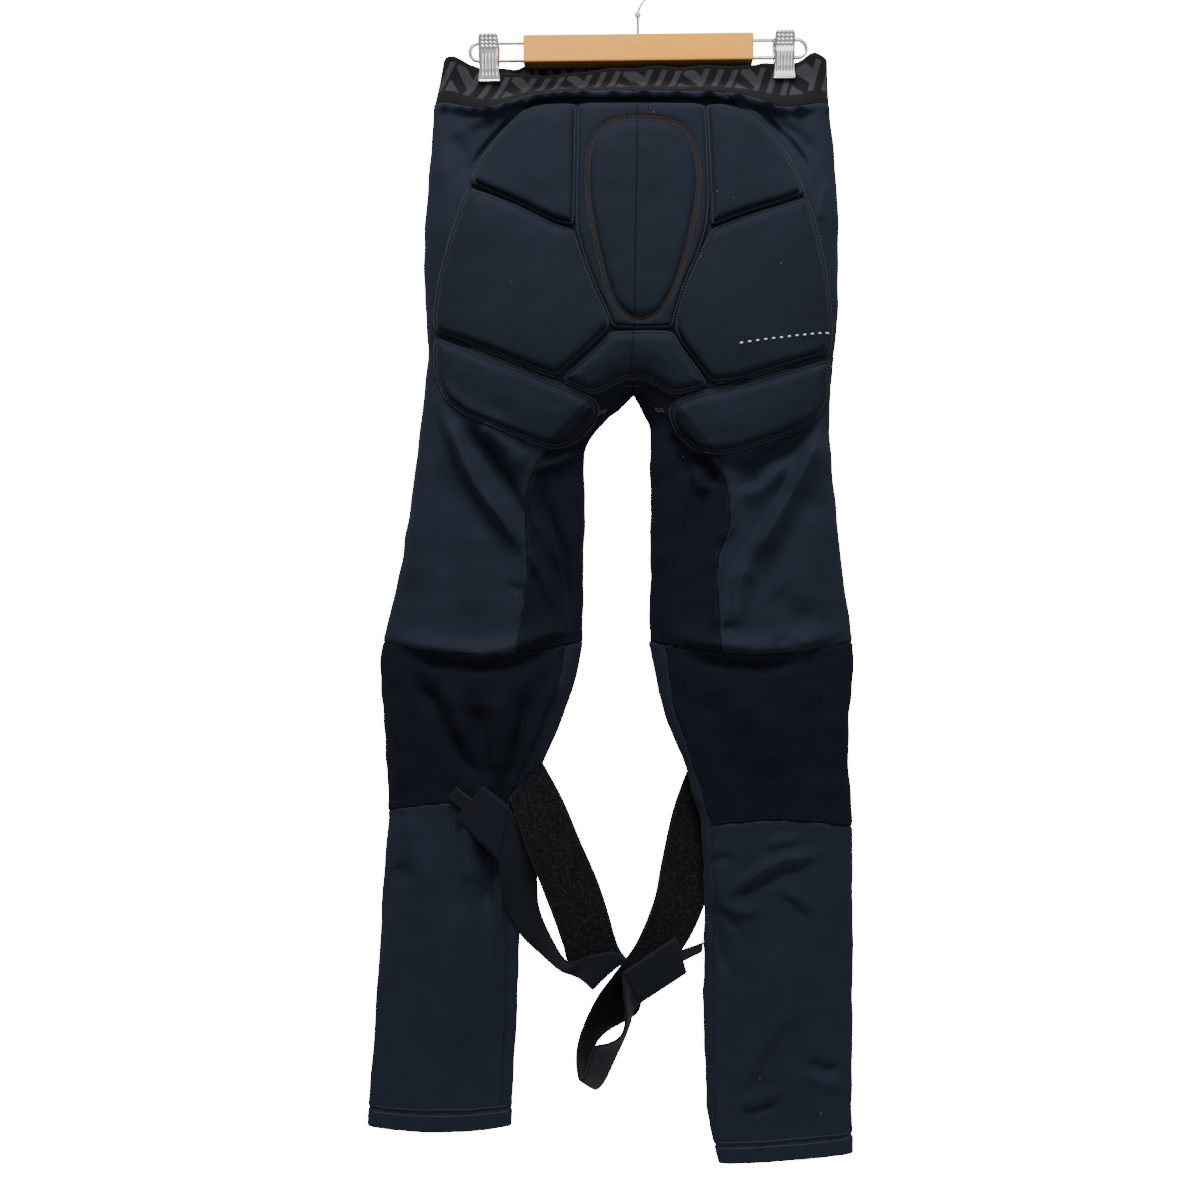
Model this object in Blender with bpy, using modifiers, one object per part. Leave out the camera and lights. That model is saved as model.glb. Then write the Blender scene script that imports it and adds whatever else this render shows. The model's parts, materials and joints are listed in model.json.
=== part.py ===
"""Padded protective tights, seat side to the front, hanging from a wooden clip hanger.

Metres, +Z up. The origin is the underside of the hook's crown, where a rail carries the
hanger. The seat side faces -Y. "Left" and "right" are as seen from there, so left is -X.
"""

import math
from collections import namedtuple
from functools import lru_cache

import bmesh
import bpy
import numpy as np
from mathutils import Vector

# Fit of the pieces
SEAM_GAP = 0.0005
WAIST_SEAM_GAP = 0.0009
CLEARANCE = 0.0003

# Tights: how wide, long and deep they hang
HIP_WIDTH = 0.362
TIGHTS_LENGTH = 0.923
HANG_DEPTH = 0.060
WAIST_Z = -0.135
CENTRE_X = -0.0045
SIDE_Y = -0.004
CLOTH_WALL = 0.0012
SECTION_ROUNDNESS = 2.4
HALF_HIP = HIP_WIDTH / 2

# Pads and the sewn channels between them
PAD_RISE = 0.0100
TAILBONE_RISE = 0.0095
CENTRE_RISE = 0.0070
CROTCH_RISE = 0.0080
CHANNEL_WIDTH = 0.0072
PAD_SEAT_GAP = 0.0010
PAD_EDGE_ROUND = 0.0018
PAD_CROWN_INSET = 0.0075
PAD_HOLLOW = 0.0030

# Waistband
BAND_HEIGHT = 0.042
BAND_WALL = 0.0018
BAND_PINCH_GAP = 0.0004
BAND_LOBE_DEPTH = 0.0105
BAND_MID_NEAR = 0.0055
BAND_MID_FAR = 0.0100
BAND_FLAT_Y = BAND_WALL + BAND_PINCH_GAP / 2

# Straps
STRAP_WALL = 0.0020
STRAP_SEAT_GAP = {"left": 0.0020, "right": 0.0012}
STRAP_END_WALL = 0.0026
END_PIECE_GAP = 0.0008
PULL_TAB_WALL = 0.0014

# Hanger
HANGER_TILT = math.radians(0.65)
BAR_LENGTH = 0.2016
BAR_HEIGHT = 0.0240
BAR_DEPTH = 0.0155
BAR_TOP_Z = -0.0735
BAR_EDGE_ROUND = 0.0015
RAIL_BEYOND_CLIP = 0.0184
RAIL_WIRE = 0.0032
RAIL_SPACING = 0.0154
RAIL_SEAT_DEPTH = 0.0120
STEM_WIRE = 0.0024
HOOK_WIRE = 0.0020
HOOK_RADIUS = 0.0200
HOOK_MOUTH_ANGLE = 200
HOOK_SWEEP = 255
HOOK_STEPS = 13
COLLAR_DIAMETER = 0.0058
COLLAR_Z = -0.0540
STEM_SEAT_DEPTH = 0.0100
CLIP_LEFT_SHARE = 0.6994
CLIP_RIGHT_SHARE = 0.7326
JAW_WIDTH = 0.0170
JAW_LIP_WIDTH = 0.0190
JAW_WALL = 0.0014
JAW_TOP_ABOVE_PIN = 0.0115
JAW_TIP_BELOW_PIN = 0.0275
JAW_TOP_LEAN = 0.0085
JAW_NECK_SHARE = 0.94
JAW_TIP_FLARE = 0.0014
EAR_WALL = 0.0012
EAR_RADIUS = 0.0034
PIN_DIAMETER = 0.0022
PIN_LENGTH = 0.0176
SLIDER_WIDTH = 0.0092
SLIDER_DEPTH = 0.0052
SLIDER_RIM = 0.0006
ROUND_SIDES = 10
CUTTER_OVERSHOOT = 0.0010

CLIP_X = {
    "left": CENTRE_X - CLIP_LEFT_SHARE * HALF_HIP,
    "right": CENTRE_X + CLIP_RIGHT_SHARE * HALF_HIP,
}
RAIL_SPAN = 2 * (max(-CLIP_X["left"], CLIP_X["right"]) + RAIL_BEYOND_CLIP)
BAR_CENTRE_Z = BAR_TOP_Z - BAR_HEIGHT / 2
RAIL_UPPER_Z = BAR_CENTRE_Z + RAIL_SPACING / 2
RAIL_LOWER_Z = BAR_CENTRE_Z - RAIL_SPACING / 2

# One row for each level down the tights. Drop is a share of TIGHTS_LENGTH below the waist
# seam. Edges are shares of HALF_HIP from the centre line, each on its own side: above the
# crotch the inner edge lies past the centre line, where the other half takes over. Near and
# far are shares of HANG_DEPTH, towards the viewer and away.
Level = namedtuple("Level", "drop left_outer left_inner right_outer right_inner near far")
LEVELS = (
    Level(0.000, 0.958, -0.958, 0.953, -0.953, 0.45, 0.20),
    Level(0.043, 0.973, -0.973, 0.972, -0.972, 0.55, 0.25),
    Level(0.091, 0.992, -0.960, 0.992, -0.960, 0.60, 0.30),
    Level(0.138, 1.007, -0.860, 0.997, -0.860, 0.63, 0.34),
    Level(0.185, 1.002, -0.650, 0.997, -0.650, 0.63, 0.37),
    Level(0.228, 0.987, -0.360, 0.982, -0.360, 0.60, 0.37),
    Level(0.252, 0.992, -0.170, 0.970, -0.170, 0.56, 0.35),
    Level(0.268, 1.002, -0.050, 0.960, -0.050, 0.52, 0.33),
    Level(0.277, 1.007, 0.004, 0.958, 0.004, 0.50, 0.31),
    Level(0.290, 1.014, 0.068, 0.955, 0.048, 0.48, 0.29),
    Level(0.309, 1.026, 0.168, 0.954, 0.082, 0.45, 0.28),
    Level(0.333, 1.041, 0.230, 0.963, 0.087, 0.40, 0.27),
    Level(0.375, 1.070, 0.232, 0.982, 0.087, 0.36, 0.25),
    Level(0.432, 1.113, 0.229, 1.011, 0.087, 0.36, 0.25),
    Level(0.508, 1.200, 0.237, 1.064, 0.082, 0.40, 0.30),
    Level(0.532, 1.220, 0.257, 1.069, 0.101, 0.42, 0.32),
    Level(0.584, 1.200, 0.338, 1.050, 0.165, 0.43, 0.33),
    Level(0.622, 1.190, 0.425, 1.046, 0.245, 0.38, 0.30),
    Level(0.660, 1.177, 0.528, 1.060, 0.300, 0.33, 0.27),
    Level(0.684, 1.183, 0.574, 1.063, 0.334, 0.31, 0.25),
    Level(0.726, 1.200, 0.566, 1.066, 0.343, 0.28, 0.22),
    Level(0.755, 1.210, 0.543, 1.069, 0.348, 0.26, 0.20),
    Level(0.850, 1.239, 0.552, 1.069, 0.343, 0.20, 0.18),
    Level(0.945, 1.273, 0.580, 1.065, 0.361, 0.15, 0.13),
    Level(1.000, 1.287, 0.592, 1.069, 0.420, 0.13, 0.12),
)
CROTCH_DROP = 0.277
KNEE_TOP_DROP = 0.509
KNEE_BOTTOM_DROP = {"left": 0.668, "right": 0.684}
HEM_TOP_DROP = {"left": 0.951, "right": 0.982}
HEM_BOTTOM_DROP = {"left": 0.968, "right": 0.999}

# How seams and edges sag (+) or rise (-) between the two edges of a leg, as a share of
# TIGHTS_LENGTH, and over how much of the length that fades out.
Wave = namedtuple("Wave", "side drop sag reach")
WAVES = (
    Wave("left", 0.512, 0.012, 0.05),
    Wave("right", 0.512, 0.011, 0.05),
    Wave("left", 0.668, -0.008, 0.04),
    Wave("right", 0.684, -0.008, 0.04),
    Wave("left", 0.968, 0.004, 0.03),
)
HEM_SLOPE = {"left": 0.0, "right": -0.010}
SEAM_DIP = {"left": 0.0075, "right": 0.0050}
SEAM_DIP_REACH = 0.028
SIDE_DIP = 0.0030
PINCH_SHARE = 0.50
PINCH_REACH = 0.030
PINCH_FADE_DROP = 0.12

# Seams, as rows of drop and the distance out from the centre line on each side
Seam = namedtuple("Seam", "drop across")
PAD_BORDER = {
    "left": (
        Seam(0.000, 0.42), Seam(0.006, 0.50), Seam(0.014, 0.55), Seam(0.026, 0.61),
        Seam(0.044, 0.665), Seam(0.086, 0.760), Seam(0.110, 0.81), Seam(0.143, 0.866),
        Seam(0.175, 0.92), Seam(0.210, 0.944), Seam(0.233, 0.955), Seam(0.261, 0.942),
        Seam(0.284, 0.888), Seam(0.299, 0.787), Seam(0.311, 0.635), Seam(0.322, 0.50),
        Seam(0.331, 0.405),
    ),
    "right": (
        Seam(0.000, 0.42), Seam(0.006, 0.47), Seam(0.014, 0.53), Seam(0.026, 0.615),
        Seam(0.055, 0.729), Seam(0.086, 0.785), Seam(0.120, 0.855), Seam(0.155, 0.903),
        Seam(0.196, 0.945), Seam(0.224, 0.952), Seam(0.252, 0.945), Seam(0.281, 0.926),
        Seam(0.301, 0.880), Seam(0.314, 0.770), Seam(0.325, 0.600), Seam(0.334, 0.45),
    ),
}
TONGUE_INNER = {
    "left": (Seam(0.277, 0.02), Seam(0.283, 0.08), Seam(0.290, 0.130), Seam(0.300, 0.17),
             Seam(0.311, 0.225), Seam(0.322, 0.27), Seam(0.331, 0.345)),
    "right": (Seam(0.277, 0.02), Seam(0.283, 0.07), Seam(0.290, 0.115), Seam(0.300, 0.16),
              Seam(0.311, 0.195), Seam(0.322, 0.245), Seam(0.334, 0.36)),
}
THIGH_SEAM = {
    "left": (Seam(0.331, 0.405), Seam(0.345, 0.460), Seam(0.377, 0.512), Seam(0.432, 0.505),
             Seam(0.470, 0.515), Seam(0.512, 0.555)),
    "right": (Seam(0.334, 0.40), Seam(0.345, 0.425), Seam(0.377, 0.462), Seam(0.403, 0.460),
              Seam(0.432, 0.402), Seam(0.470, 0.404), Seam(0.512, 0.422)),
}
STRIP_SEAM = {
    "left": (Seam(0.503, 0.314), Seam(0.555, 0.350), Seam(0.612, 0.465), Seam(0.659, 0.592),
             Seam(0.687, 0.632), Seam(0.726, 0.622), Seam(0.791, 0.600), Seam(0.861, 0.610),
             Seam(1.000, 0.640)),
    "right": (Seam(0.503, 0.153), Seam(0.565, 0.190), Seam(0.615, 0.270), Seam(0.678, 0.372),
              Seam(0.723, 0.385), Seam(0.773, 0.396), Seam(0.850, 0.383), Seam(1.000, 0.400)),
}
FAR_HIP_SEAM = 0.80
FAR_INNER_SHARE = 0.22
FAR_STRIP_SHARE = 0.09

# The pads, drawn along the middle of the channels round them: shares of HALF_HIP across
# (left is negative) and of TIGHTS_LENGTH down
PAD_OUTLINES = {
    "pad_upper_left": (
        (-0.769, 0.084), (-0.715, 0.064), (-0.660, 0.043), (-0.595, 0.023), (-0.520, 0.013),
        (-0.443, 0.010), (-0.350, 0.009), (-0.262, 0.009), (-0.266, 0.035), (-0.267, 0.063),
        (-0.271, 0.095), (-0.274, 0.129), (-0.374, 0.124), (-0.546, 0.106), (-0.660, 0.095),
    ),
    "pad_upper_right": (
        (0.808, 0.094), (0.778, 0.078), (0.729, 0.055), (0.626, 0.028), (0.556, 0.017),
        (0.454, 0.011), (0.338, 0.009), (0.346, 0.035), (0.352, 0.063), (0.361, 0.104),
        (0.358, 0.129), (0.482, 0.119), (0.623, 0.109), (0.720, 0.102),
    ),
    "pad_seat_left": (
        (-0.775, 0.088), (-0.660, 0.097), (-0.546, 0.107), (-0.374, 0.125), (-0.274, 0.132),
        (-0.229, 0.160), (-0.174, 0.188), (-0.109, 0.213), (-0.104, 0.221), (-0.174, 0.234),
        (-0.240, 0.246), (-0.318, 0.258), (-0.360, 0.265), (-0.470, 0.257), (-0.588, 0.248),
        (-0.780, 0.233), (-0.865, 0.227), (-0.935, 0.221), (-0.940, 0.205), (-0.915, 0.175),
        (-0.866, 0.143), (-0.815, 0.112),
    ),
    "pad_seat_right": (
        (0.815, 0.097), (0.720, 0.104), (0.623, 0.111), (0.482, 0.121), (0.359, 0.131),
        (0.303, 0.155), (0.240, 0.183), (0.196, 0.210), (0.189, 0.223), (0.227, 0.236),
        (0.295, 0.253), (0.362, 0.270), (0.483, 0.268), (0.703, 0.255), (0.800, 0.249),
        (0.873, 0.244), (0.930, 0.240), (0.945, 0.224), (0.938, 0.196), (0.900, 0.155),
        (0.855, 0.120),
    ),
    "pad_thigh_left": (
        (-0.930, 0.226), (-0.860, 0.232), (-0.780, 0.239), (-0.589, 0.254), (-0.470, 0.263),
        (-0.342, 0.273), (-0.240, 0.281), (-0.174, 0.286), (-0.165, 0.297), (-0.230, 0.314),
        (-0.300, 0.325), (-0.378, 0.329), (-0.500, 0.321), (-0.625, 0.311), (-0.780, 0.299),
        (-0.880, 0.284), (-0.930, 0.261), (-0.944, 0.240),
    ),
    "pad_thigh_right": (
        (0.932, 0.245), (0.883, 0.249), (0.820, 0.253), (0.703, 0.261), (0.530, 0.271),
        (0.363, 0.278), (0.280, 0.282), (0.205, 0.287), (0.175, 0.294), (0.205, 0.312),
        (0.292, 0.330), (0.390, 0.334), (0.495, 0.331), (0.620, 0.323), (0.770, 0.313),
        (0.870, 0.301), (0.918, 0.281), (0.935, 0.262),
    ),
    "pad_crotch": (
        (-0.104, 0.224), (-0.170, 0.237), (-0.250, 0.251), (-0.346, 0.267), (-0.265, 0.273),
        (-0.188, 0.279), (-0.110, 0.271), (-0.045, 0.264), (0.010, 0.262), (0.065, 0.264),
        (0.125, 0.271), (0.190, 0.279), (0.275, 0.276), (0.360, 0.272), (0.300, 0.256),
        (0.230, 0.239), (0.189, 0.224), (0.100, 0.223), (0.000, 0.223),
    ),
    "pad_centre": (
        (-0.264, 0.009), (-0.100, 0.010), (0.060, 0.010), (0.200, 0.010), (0.340, 0.009),
        (0.349, 0.040), (0.353, 0.070), (0.359, 0.104), (0.345, 0.130), (0.303, 0.155),
        (0.240, 0.183), (0.196, 0.210), (0.188, 0.222), (0.100, 0.222), (0.040, 0.222),
        (-0.020, 0.222), (-0.104, 0.221), (-0.120, 0.209), (-0.174, 0.188), (-0.229, 0.160),
        (-0.272, 0.131), (-0.271, 0.095), (-0.267, 0.063), (-0.266, 0.035),
    ),
    "pad_tailbone": (
        (-0.034, 0.028), (-0.118, 0.032), (-0.178, 0.044), (-0.211, 0.063), (-0.217, 0.085),
        (-0.209, 0.108), (-0.176, 0.142), (-0.138, 0.174), (-0.092, 0.199), (-0.020, 0.213),
        (0.054, 0.215), (0.123, 0.208), (0.179, 0.191), (0.226, 0.167), (0.262, 0.140),
        (0.297, 0.108), (0.309, 0.080), (0.288, 0.055), (0.239, 0.036), (0.165, 0.030),
        (0.066, 0.027),
    ),
}

# Folds of the hanging cloth: a ridge (+) or a valley (-) along a line on the near side.
# Width is a share of HALF_HIP, rise a share of HANG_DEPTH.
Fold = namedtuple("Fold", "side from_across from_drop to_across to_drop width rise")
FOLDS = (
    Fold("left", 0.84, 0.335, 0.52, 0.425, 0.12, 0.11),
    Fold("left", 0.52, 0.425, 0.56, 0.500, 0.10, 0.09),
    Fold("left", 0.42, 0.350, 0.36, 0.430, 0.12, -0.12),
    Fold("left", 0.80, 0.560, 0.62, 0.650, 0.09, -0.08),
    Fold("left", 0.97, 0.590, 0.70, 0.662, 0.08, 0.07),
    Fold("left", 0.50, 0.528, 1.05, 0.534, 0.07, -0.05),
    Fold("left", 0.72, 0.725, 0.90, 0.790, 0.07, -0.05),
    Fold("right", 0.85, 0.340, 0.54, 0.432, 0.12, 0.11),
    Fold("right", 0.54, 0.432, 0.52, 0.485, 0.10, 0.08),
    Fold("right", 0.86, 0.385, 0.72, 0.430, 0.08, -0.07),
    Fold("right", 0.28, 0.350, 0.24, 0.430, 0.10, -0.09),
    Fold("right", 0.30, 0.530, 0.90, 0.534, 0.07, -0.05),
    Fold("right", 0.40, 0.590, 0.55, 0.665, 0.08, -0.05),
    Fold("right", 0.55, 0.710, 0.82, 0.760, 0.07, -0.05),
)

# The waistband's top edge: across as a share of HALF_HIP, heights of the near and the far
# layer as shares of BAND_HEIGHT above the waist seam
BandTop = namedtuple("BandTop", "across near far")
BAND_TOPS = (
    BandTop(-0.96, 0.90, 0.90), BandTop(-0.88, 1.00, 0.98), BandTop(-0.78, 0.85, 0.88),
    BandTop(-0.72, 0.76, 0.80), BandTop(-0.58, 0.66, 0.76), BandTop(-0.44, 0.60, 0.75),
    BandTop(-0.30, 0.64, 0.76), BandTop(-0.14, 0.73, 0.78), BandTop(0.00, 0.78, 0.80),
    BandTop(0.55, 0.80, 0.81), BandTop(0.65, 0.90, 0.90), BandTop(0.73, 0.87, 0.87),
    BandTop(0.80, 0.91, 0.91), BandTop(0.88, 1.09, 1.04), BandTop(0.96, 0.95, 0.95),
)
BAND_TOP_OUTER = {"left": 0.915, "right": 0.950}
BAND_INNER_COLUMNS = (0.08, 0.24, 0.40, 0.52, 0.62)
BAND_OUTER_COLUMNS = (0.89, 0.94, 0.98)
BAND_RINGS = (0.0, 0.34, 0.66, 1.0)
PINCH_FLAT = 0.0118
BAND_PINCH_REACH = 0.013
BAND_SHUT_SHARE = 0.62

# Levels at which every panel has a row of points, so that neighbours meet along one line
LEVEL_ROWS = (
    0.006, 0.014, 0.026, 0.050, 0.080, 0.110, 0.143, 0.175, 0.210, 0.235, 0.255, 0.268,
    0.277, 0.283, 0.290, 0.300, 0.311, 0.322, 0.345, 0.377, 0.403, 0.432, 0.470,
    0.532, 0.565, 0.600, 0.635, 0.705, 0.750, 0.800, 0.860, 0.915,
)
ROWS_UNDER_PADS = (0.006, 0.014, 0.026, 0.080, 0.143, 0.210, 0.255)

# The straps, as rows of their two edges: across and depth, in shares of HALF_HIP and
# HANG_DEPTH, and drop. The first row of each is laid on the leg it is sewn to.
Station = namedtuple("Station", "across drop depth other_across other_drop other_depth")
STRAP_STATIONS = {
    "left": (
        Station(-0.332, 0.658, -0.30, -0.515, 0.692, -0.58),
        Station(-0.250, 0.694, -0.40, -0.440, 0.731, -0.56),
        Station(-0.165, 0.731, -0.46, -0.372, 0.766, -0.54),
        Station(-0.117, 0.759, -0.50, -0.332, 0.789, -0.52),
        Station(-0.070, 0.790, -0.52, -0.300, 0.808, -0.50),
        Station(-0.030, 0.801, -0.60, -0.200, 0.828, -0.60),
        Station(-0.095, 0.793, -0.69, -0.205, 0.824, -0.68),
        Station(-0.211, 0.797, -0.70, -0.263, 0.818, -0.60),
        Station(-0.310, 0.803, -0.63, -0.346, 0.817, -0.30),
        Station(-0.403, 0.780, -0.37, -0.441, 0.806, -0.07),
        Station(-0.447, 0.757, -0.27, -0.536, 0.787, -0.14),
        Station(-0.475, 0.734, -0.25, -0.605, 0.754, -0.30),
        Station(-0.545, 0.699, -0.36, -0.650, 0.722, -0.42),
        Station(-0.612, 0.668, -0.45, -0.700, 0.700, -0.46),
    ),
    "right": (
        Station(0.200, 0.672, 0.06, 0.385, 0.704, 0.20),
        Station(0.142, 0.722, 0.00, 0.375, 0.738, 0.12),
        Station(0.106, 0.755, -0.08, 0.352, 0.762, 0.04),
        Station(0.023, 0.793, -0.15, 0.265, 0.795, -0.10),
        Station(-0.083, 0.821, -0.23, 0.142, 0.822, -0.20),
        Station(-0.169, 0.841, -0.23, 0.061, 0.847, -0.20),
        Station(-0.232, 0.870, -0.20, 0.005, 0.869, -0.13),
        Station(-0.261, 0.891, -0.17, -0.110, 0.889, -0.03),
        Station(-0.261, 0.909, -0.23, -0.180, 0.908, -0.08),
        Station(-0.222, 0.921, -0.43, -0.205, 0.918, -0.25),
        Station(-0.136, 0.907, -0.60, -0.202, 0.892, -0.52),
        Station(-0.065, 0.886, -0.63, -0.150, 0.868, -0.66),
        Station(0.001, 0.863, -0.50, -0.043, 0.850, -0.73),
        Station(0.038, 0.846, -0.40, -0.045, 0.820, -0.66),
    ),
}
StrapRoot = namedtuple("StrapRoot", "across drop other_across other_drop far")
STRAP_ROOTS = {
    "left": StrapRoot(0.445, 0.622, 0.590, 0.657, False),
    "right": StrapRoot(0.275, 0.634, 0.375, 0.668, True),
}
# The patch at a strap's end goes on from the strap's last row to these two corners, and the
# pull tab from between two shares of the patch's far edge to its own two corners
Corner = namedtuple("Corner", "across drop depth")
STRAP_ENDS = {
    "left": (Corner(-0.709, 0.643, -0.48), Corner(-0.841, 0.673, -0.48)),
    "right": (Corner(0.258, 0.818, -0.36), Corner(0.206, 0.784, -0.42)),
}
PullTab = namedtuple("PullTab", "from_share to_share one other")
PULL_TABS = {
    "left": PullTab(0.55, 0.85, Corner(-0.835, 0.644, -0.49), Corner(-0.879, 0.653, -0.49)),
    "right": PullTab(0.32, 0.59, Corner(0.330, 0.797, -0.40), Corner(0.315, 0.788, -0.40)),
}

SIGN = {"left": -1.0, "right": 1.0}


def clear_scene():
    for thing in list(bpy.data.objects):
        bpy.data.objects.remove(thing, do_unlink=True)


def new_collection(name):
    collection = bpy.data.collections.new(name)
    bpy.context.scene.collection.children.link(collection)
    return collection


def principled(name, colour, roughness, metallic=0.0):
    material = bpy.data.materials.new(name)
    material.use_nodes = True
    shader = material.node_tree.nodes["Principled BSDF"]
    shader.inputs["Base Color"].default_value = (*colour, 1.0)
    shader.inputs["Roughness"].default_value = roughness
    shader.inputs["Metallic"].default_value = metallic
    material.diffuse_color = (*colour, 1.0)
    return material


def mesh_object(name, mesh, material, collection):
    """The object of a bmesh, shaded smooth between its sharp edges."""
    data = bpy.data.meshes.new(name)
    mesh.to_mesh(data)
    mesh.free()
    data.materials.append(material)
    data.shade_smooth()
    data.set_sharp_from_angle(angle=math.radians(40))
    thing = bpy.data.objects.new(name, data)
    collection.objects.link(thing)
    return thing


def closed_object(name, mesh, material, collection):
    """The object of a closed bmesh, with its faces turned to point out."""
    bmesh.ops.recalc_face_normals(mesh, faces=mesh.faces)
    if mesh.calc_volume(signed=True) < 0:
        bmesh.ops.reverse_faces(mesh, faces=mesh.faces)
    return mesh_object(name, mesh, material, collection)


def smooth_curve(xs, ys, x):
    """A smooth curve through the points that never overshoots between two of them."""
    slopes = np.diff(ys) / np.diff(xs)
    i = int(np.clip(np.searchsorted(xs, x) - 1, 0, len(slopes) - 1))

    def tangent(k):
        if k == 0 or k == len(slopes):
            return slopes[min(k, len(slopes) - 1)]
        before, after = slopes[k - 1], slopes[k]
        return 0.0 if before * after <= 0 else 2 * before * after / (before + after)

    span = xs[i + 1] - xs[i]
    t = (min(max(x, xs[0]), xs[-1]) - xs[i]) / span
    return (
        (2 * t**3 - 3 * t**2 + 1) * ys[i]
        + (t**3 - 2 * t**2 + t) * span * tangent(i)
        + (3 * t**2 - 2 * t**3) * ys[i + 1]
        + (t**3 - t**2) * span * tangent(i + 1)
    )


def column(table, name):
    return np.array([getattr(row, name) for row in table])


def ease(t):
    t = min(max(t, 0.0), 1.0)
    return t * t * (3 - 2 * t)


def hill(distance, reach):
    return math.exp(-((distance / reach) ** 2))


def at_level(name, drop):
    return smooth_curve(column(LEVELS, "drop"), column(LEVELS, name), drop)


def seam_across(table, drop):
    return float(np.interp(drop, column(table, "drop"), column(table, "across"))) * HALF_HIP


@lru_cache(maxsize=None)
def section(side, drop):
    """One half's cross-section: distances out, depths, and shares of the way round it.

    It starts on the near side at the centre line (or at the leg's inner edge), goes round
    the outer edge and ends on the far side.
    """
    outer = at_level(side + "_outer", drop) * HALF_HIP
    inner = at_level(side + "_inner", drop) * HALF_HIP
    near = at_level("near", drop) * HANG_DEPTH
    far = at_level("far", drop) * HANG_DEPTH
    middle, half = (outer + inner) / 2, (outer - inner) / 2
    if inner < 0:
        first = math.acos(-(max(middle / half, 0.0) ** (SECTION_ROUNDNESS / 2)))
    else:
        first = math.pi
    angles = np.linspace(first, -first, 121)
    power = 2 / SECTION_ROUNDNESS
    out = middle + half * np.sign(np.cos(angles)) * np.abs(np.cos(angles)) ** power
    rise = np.abs(np.sin(angles)) ** power
    depth = np.where(angles > 0, -near, far) * rise
    steps = np.hypot(np.diff(out), np.diff(depth))
    way = np.concatenate([[0.0], np.cumsum(steps)])
    return out, depth, way / way[-1], way[-1]


def turn_of(side, drop, across, far=False):
    """How far round the section lies the point at this distance out, on the near or far side."""
    out, _, way, _ = section(side, drop)
    outermost = int(np.argmax(out))
    if far:
        return float(np.interp(-across, -out[outermost:], way[outermost:]))
    return float(np.interp(across, out[: outermost + 1], way[: outermost + 1]))


def fold_rise(side, out, drop):
    """How far the folds lift the near cloth towards the viewer at this place."""
    here = np.array([out, drop * TIGHTS_LENGTH])
    total = 0.0
    for fold in FOLDS:
        if fold.side != side:
            continue
        start = np.array([fold.from_across * HALF_HIP, fold.from_drop * TIGHTS_LENGTH])
        end = np.array([fold.to_across * HALF_HIP, fold.to_drop * TIGHTS_LENGTH])
        along = end - start
        share = min(max(float((here - start) @ along / (along @ along)), 0.0), 1.0)
        away = float(np.linalg.norm(here - start - share * along))
        total += fold.rise * HANG_DEPTH * hill(away, fold.width * HALF_HIP)
    return total


def pinch(side, out, drop):
    """How much the clip above presses the two layers together, from 0 to 1."""
    clip_out = abs(CLIP_X[side] - CENTRE_X)
    fade = ease(1 - drop / PINCH_FADE_DROP)
    return PINCH_SHARE * fade * hill(out - clip_out, PINCH_REACH)


def height_of(side, out, drop, far=False):
    """World Z of a point this far down and out, with the dips and sags of the seams."""
    outer = at_level(side + "_outer", drop) * HALF_HIP
    inner = max(at_level(side + "_inner", drop), 0.0) * HALF_HIP
    share = min(max((out - inner) / (outer - inner), 0.0), 1.0)
    clip_out = abs(CLIP_X[side] - CENTRE_X)
    fade = ease(1 - drop / 0.06)
    dip = SIDE_DIP * share**3
    if not far:
        dip += SEAM_DIP[side] * hill(out - clip_out, SEAM_DIP_REACH)
    sag = 0.0
    for wave in WAVES:
        if wave.side == side:
            sag += wave.sag * math.sin(math.pi * share) * hill(drop - wave.drop, wave.reach)
    slope = HEM_SLOPE[side] * (share - 0.5) * ease((drop - 0.90) / 0.08)
    return WAIST_Z - dip * fade - TIGHTS_LENGTH * (drop + sag + slope)


def shell_point(side, drop, turn):
    """A point on the outer face of the tights, at a share of the way round the section."""
    out_line, depth_line, way, _ = section(side, drop)
    if drop >= CROTCH_DROP:
        turn = turn % 1.0 if turn < 0 or turn > 1 else turn
    out = float(np.interp(turn, way, out_line))
    depth = float(np.interp(turn, way, depth_line))
    near = at_level("near", drop) * HANG_DEPTH
    nearness = ease(max(-depth, 0.0) / near * 1.4)
    depth = depth * (1 - pinch(side, out, drop)) - fold_rise(side, out, drop) * nearness
    x = CENTRE_X + SIGN[side] * (out + SEAM_GAP / 2)
    return Vector((x, SIDE_Y + depth, height_of(side, out, drop, far=depth > 0)))


def level_normal(side, drop, turn):
    """The level direction straight out of the cloth."""
    step = 0.004
    low, high = turn - step, turn + step
    if drop < CROTCH_DROP:
        low, high = max(low, 0.0), min(high, 1.0)
    along = shell_point(side, drop, high) - shell_point(side, drop, low)
    normal = Vector((along.y, -along.x, 0.0)) * SIGN[side]
    return normal.normalized()


def near_turn(across, drop):
    """The side and turn of the near cloth at a signed share of HALF_HIP from the centre line."""
    side = "left" if across < 0 else "right"
    return side, turn_of(side, drop, abs(across) * HALF_HIP)


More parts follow.
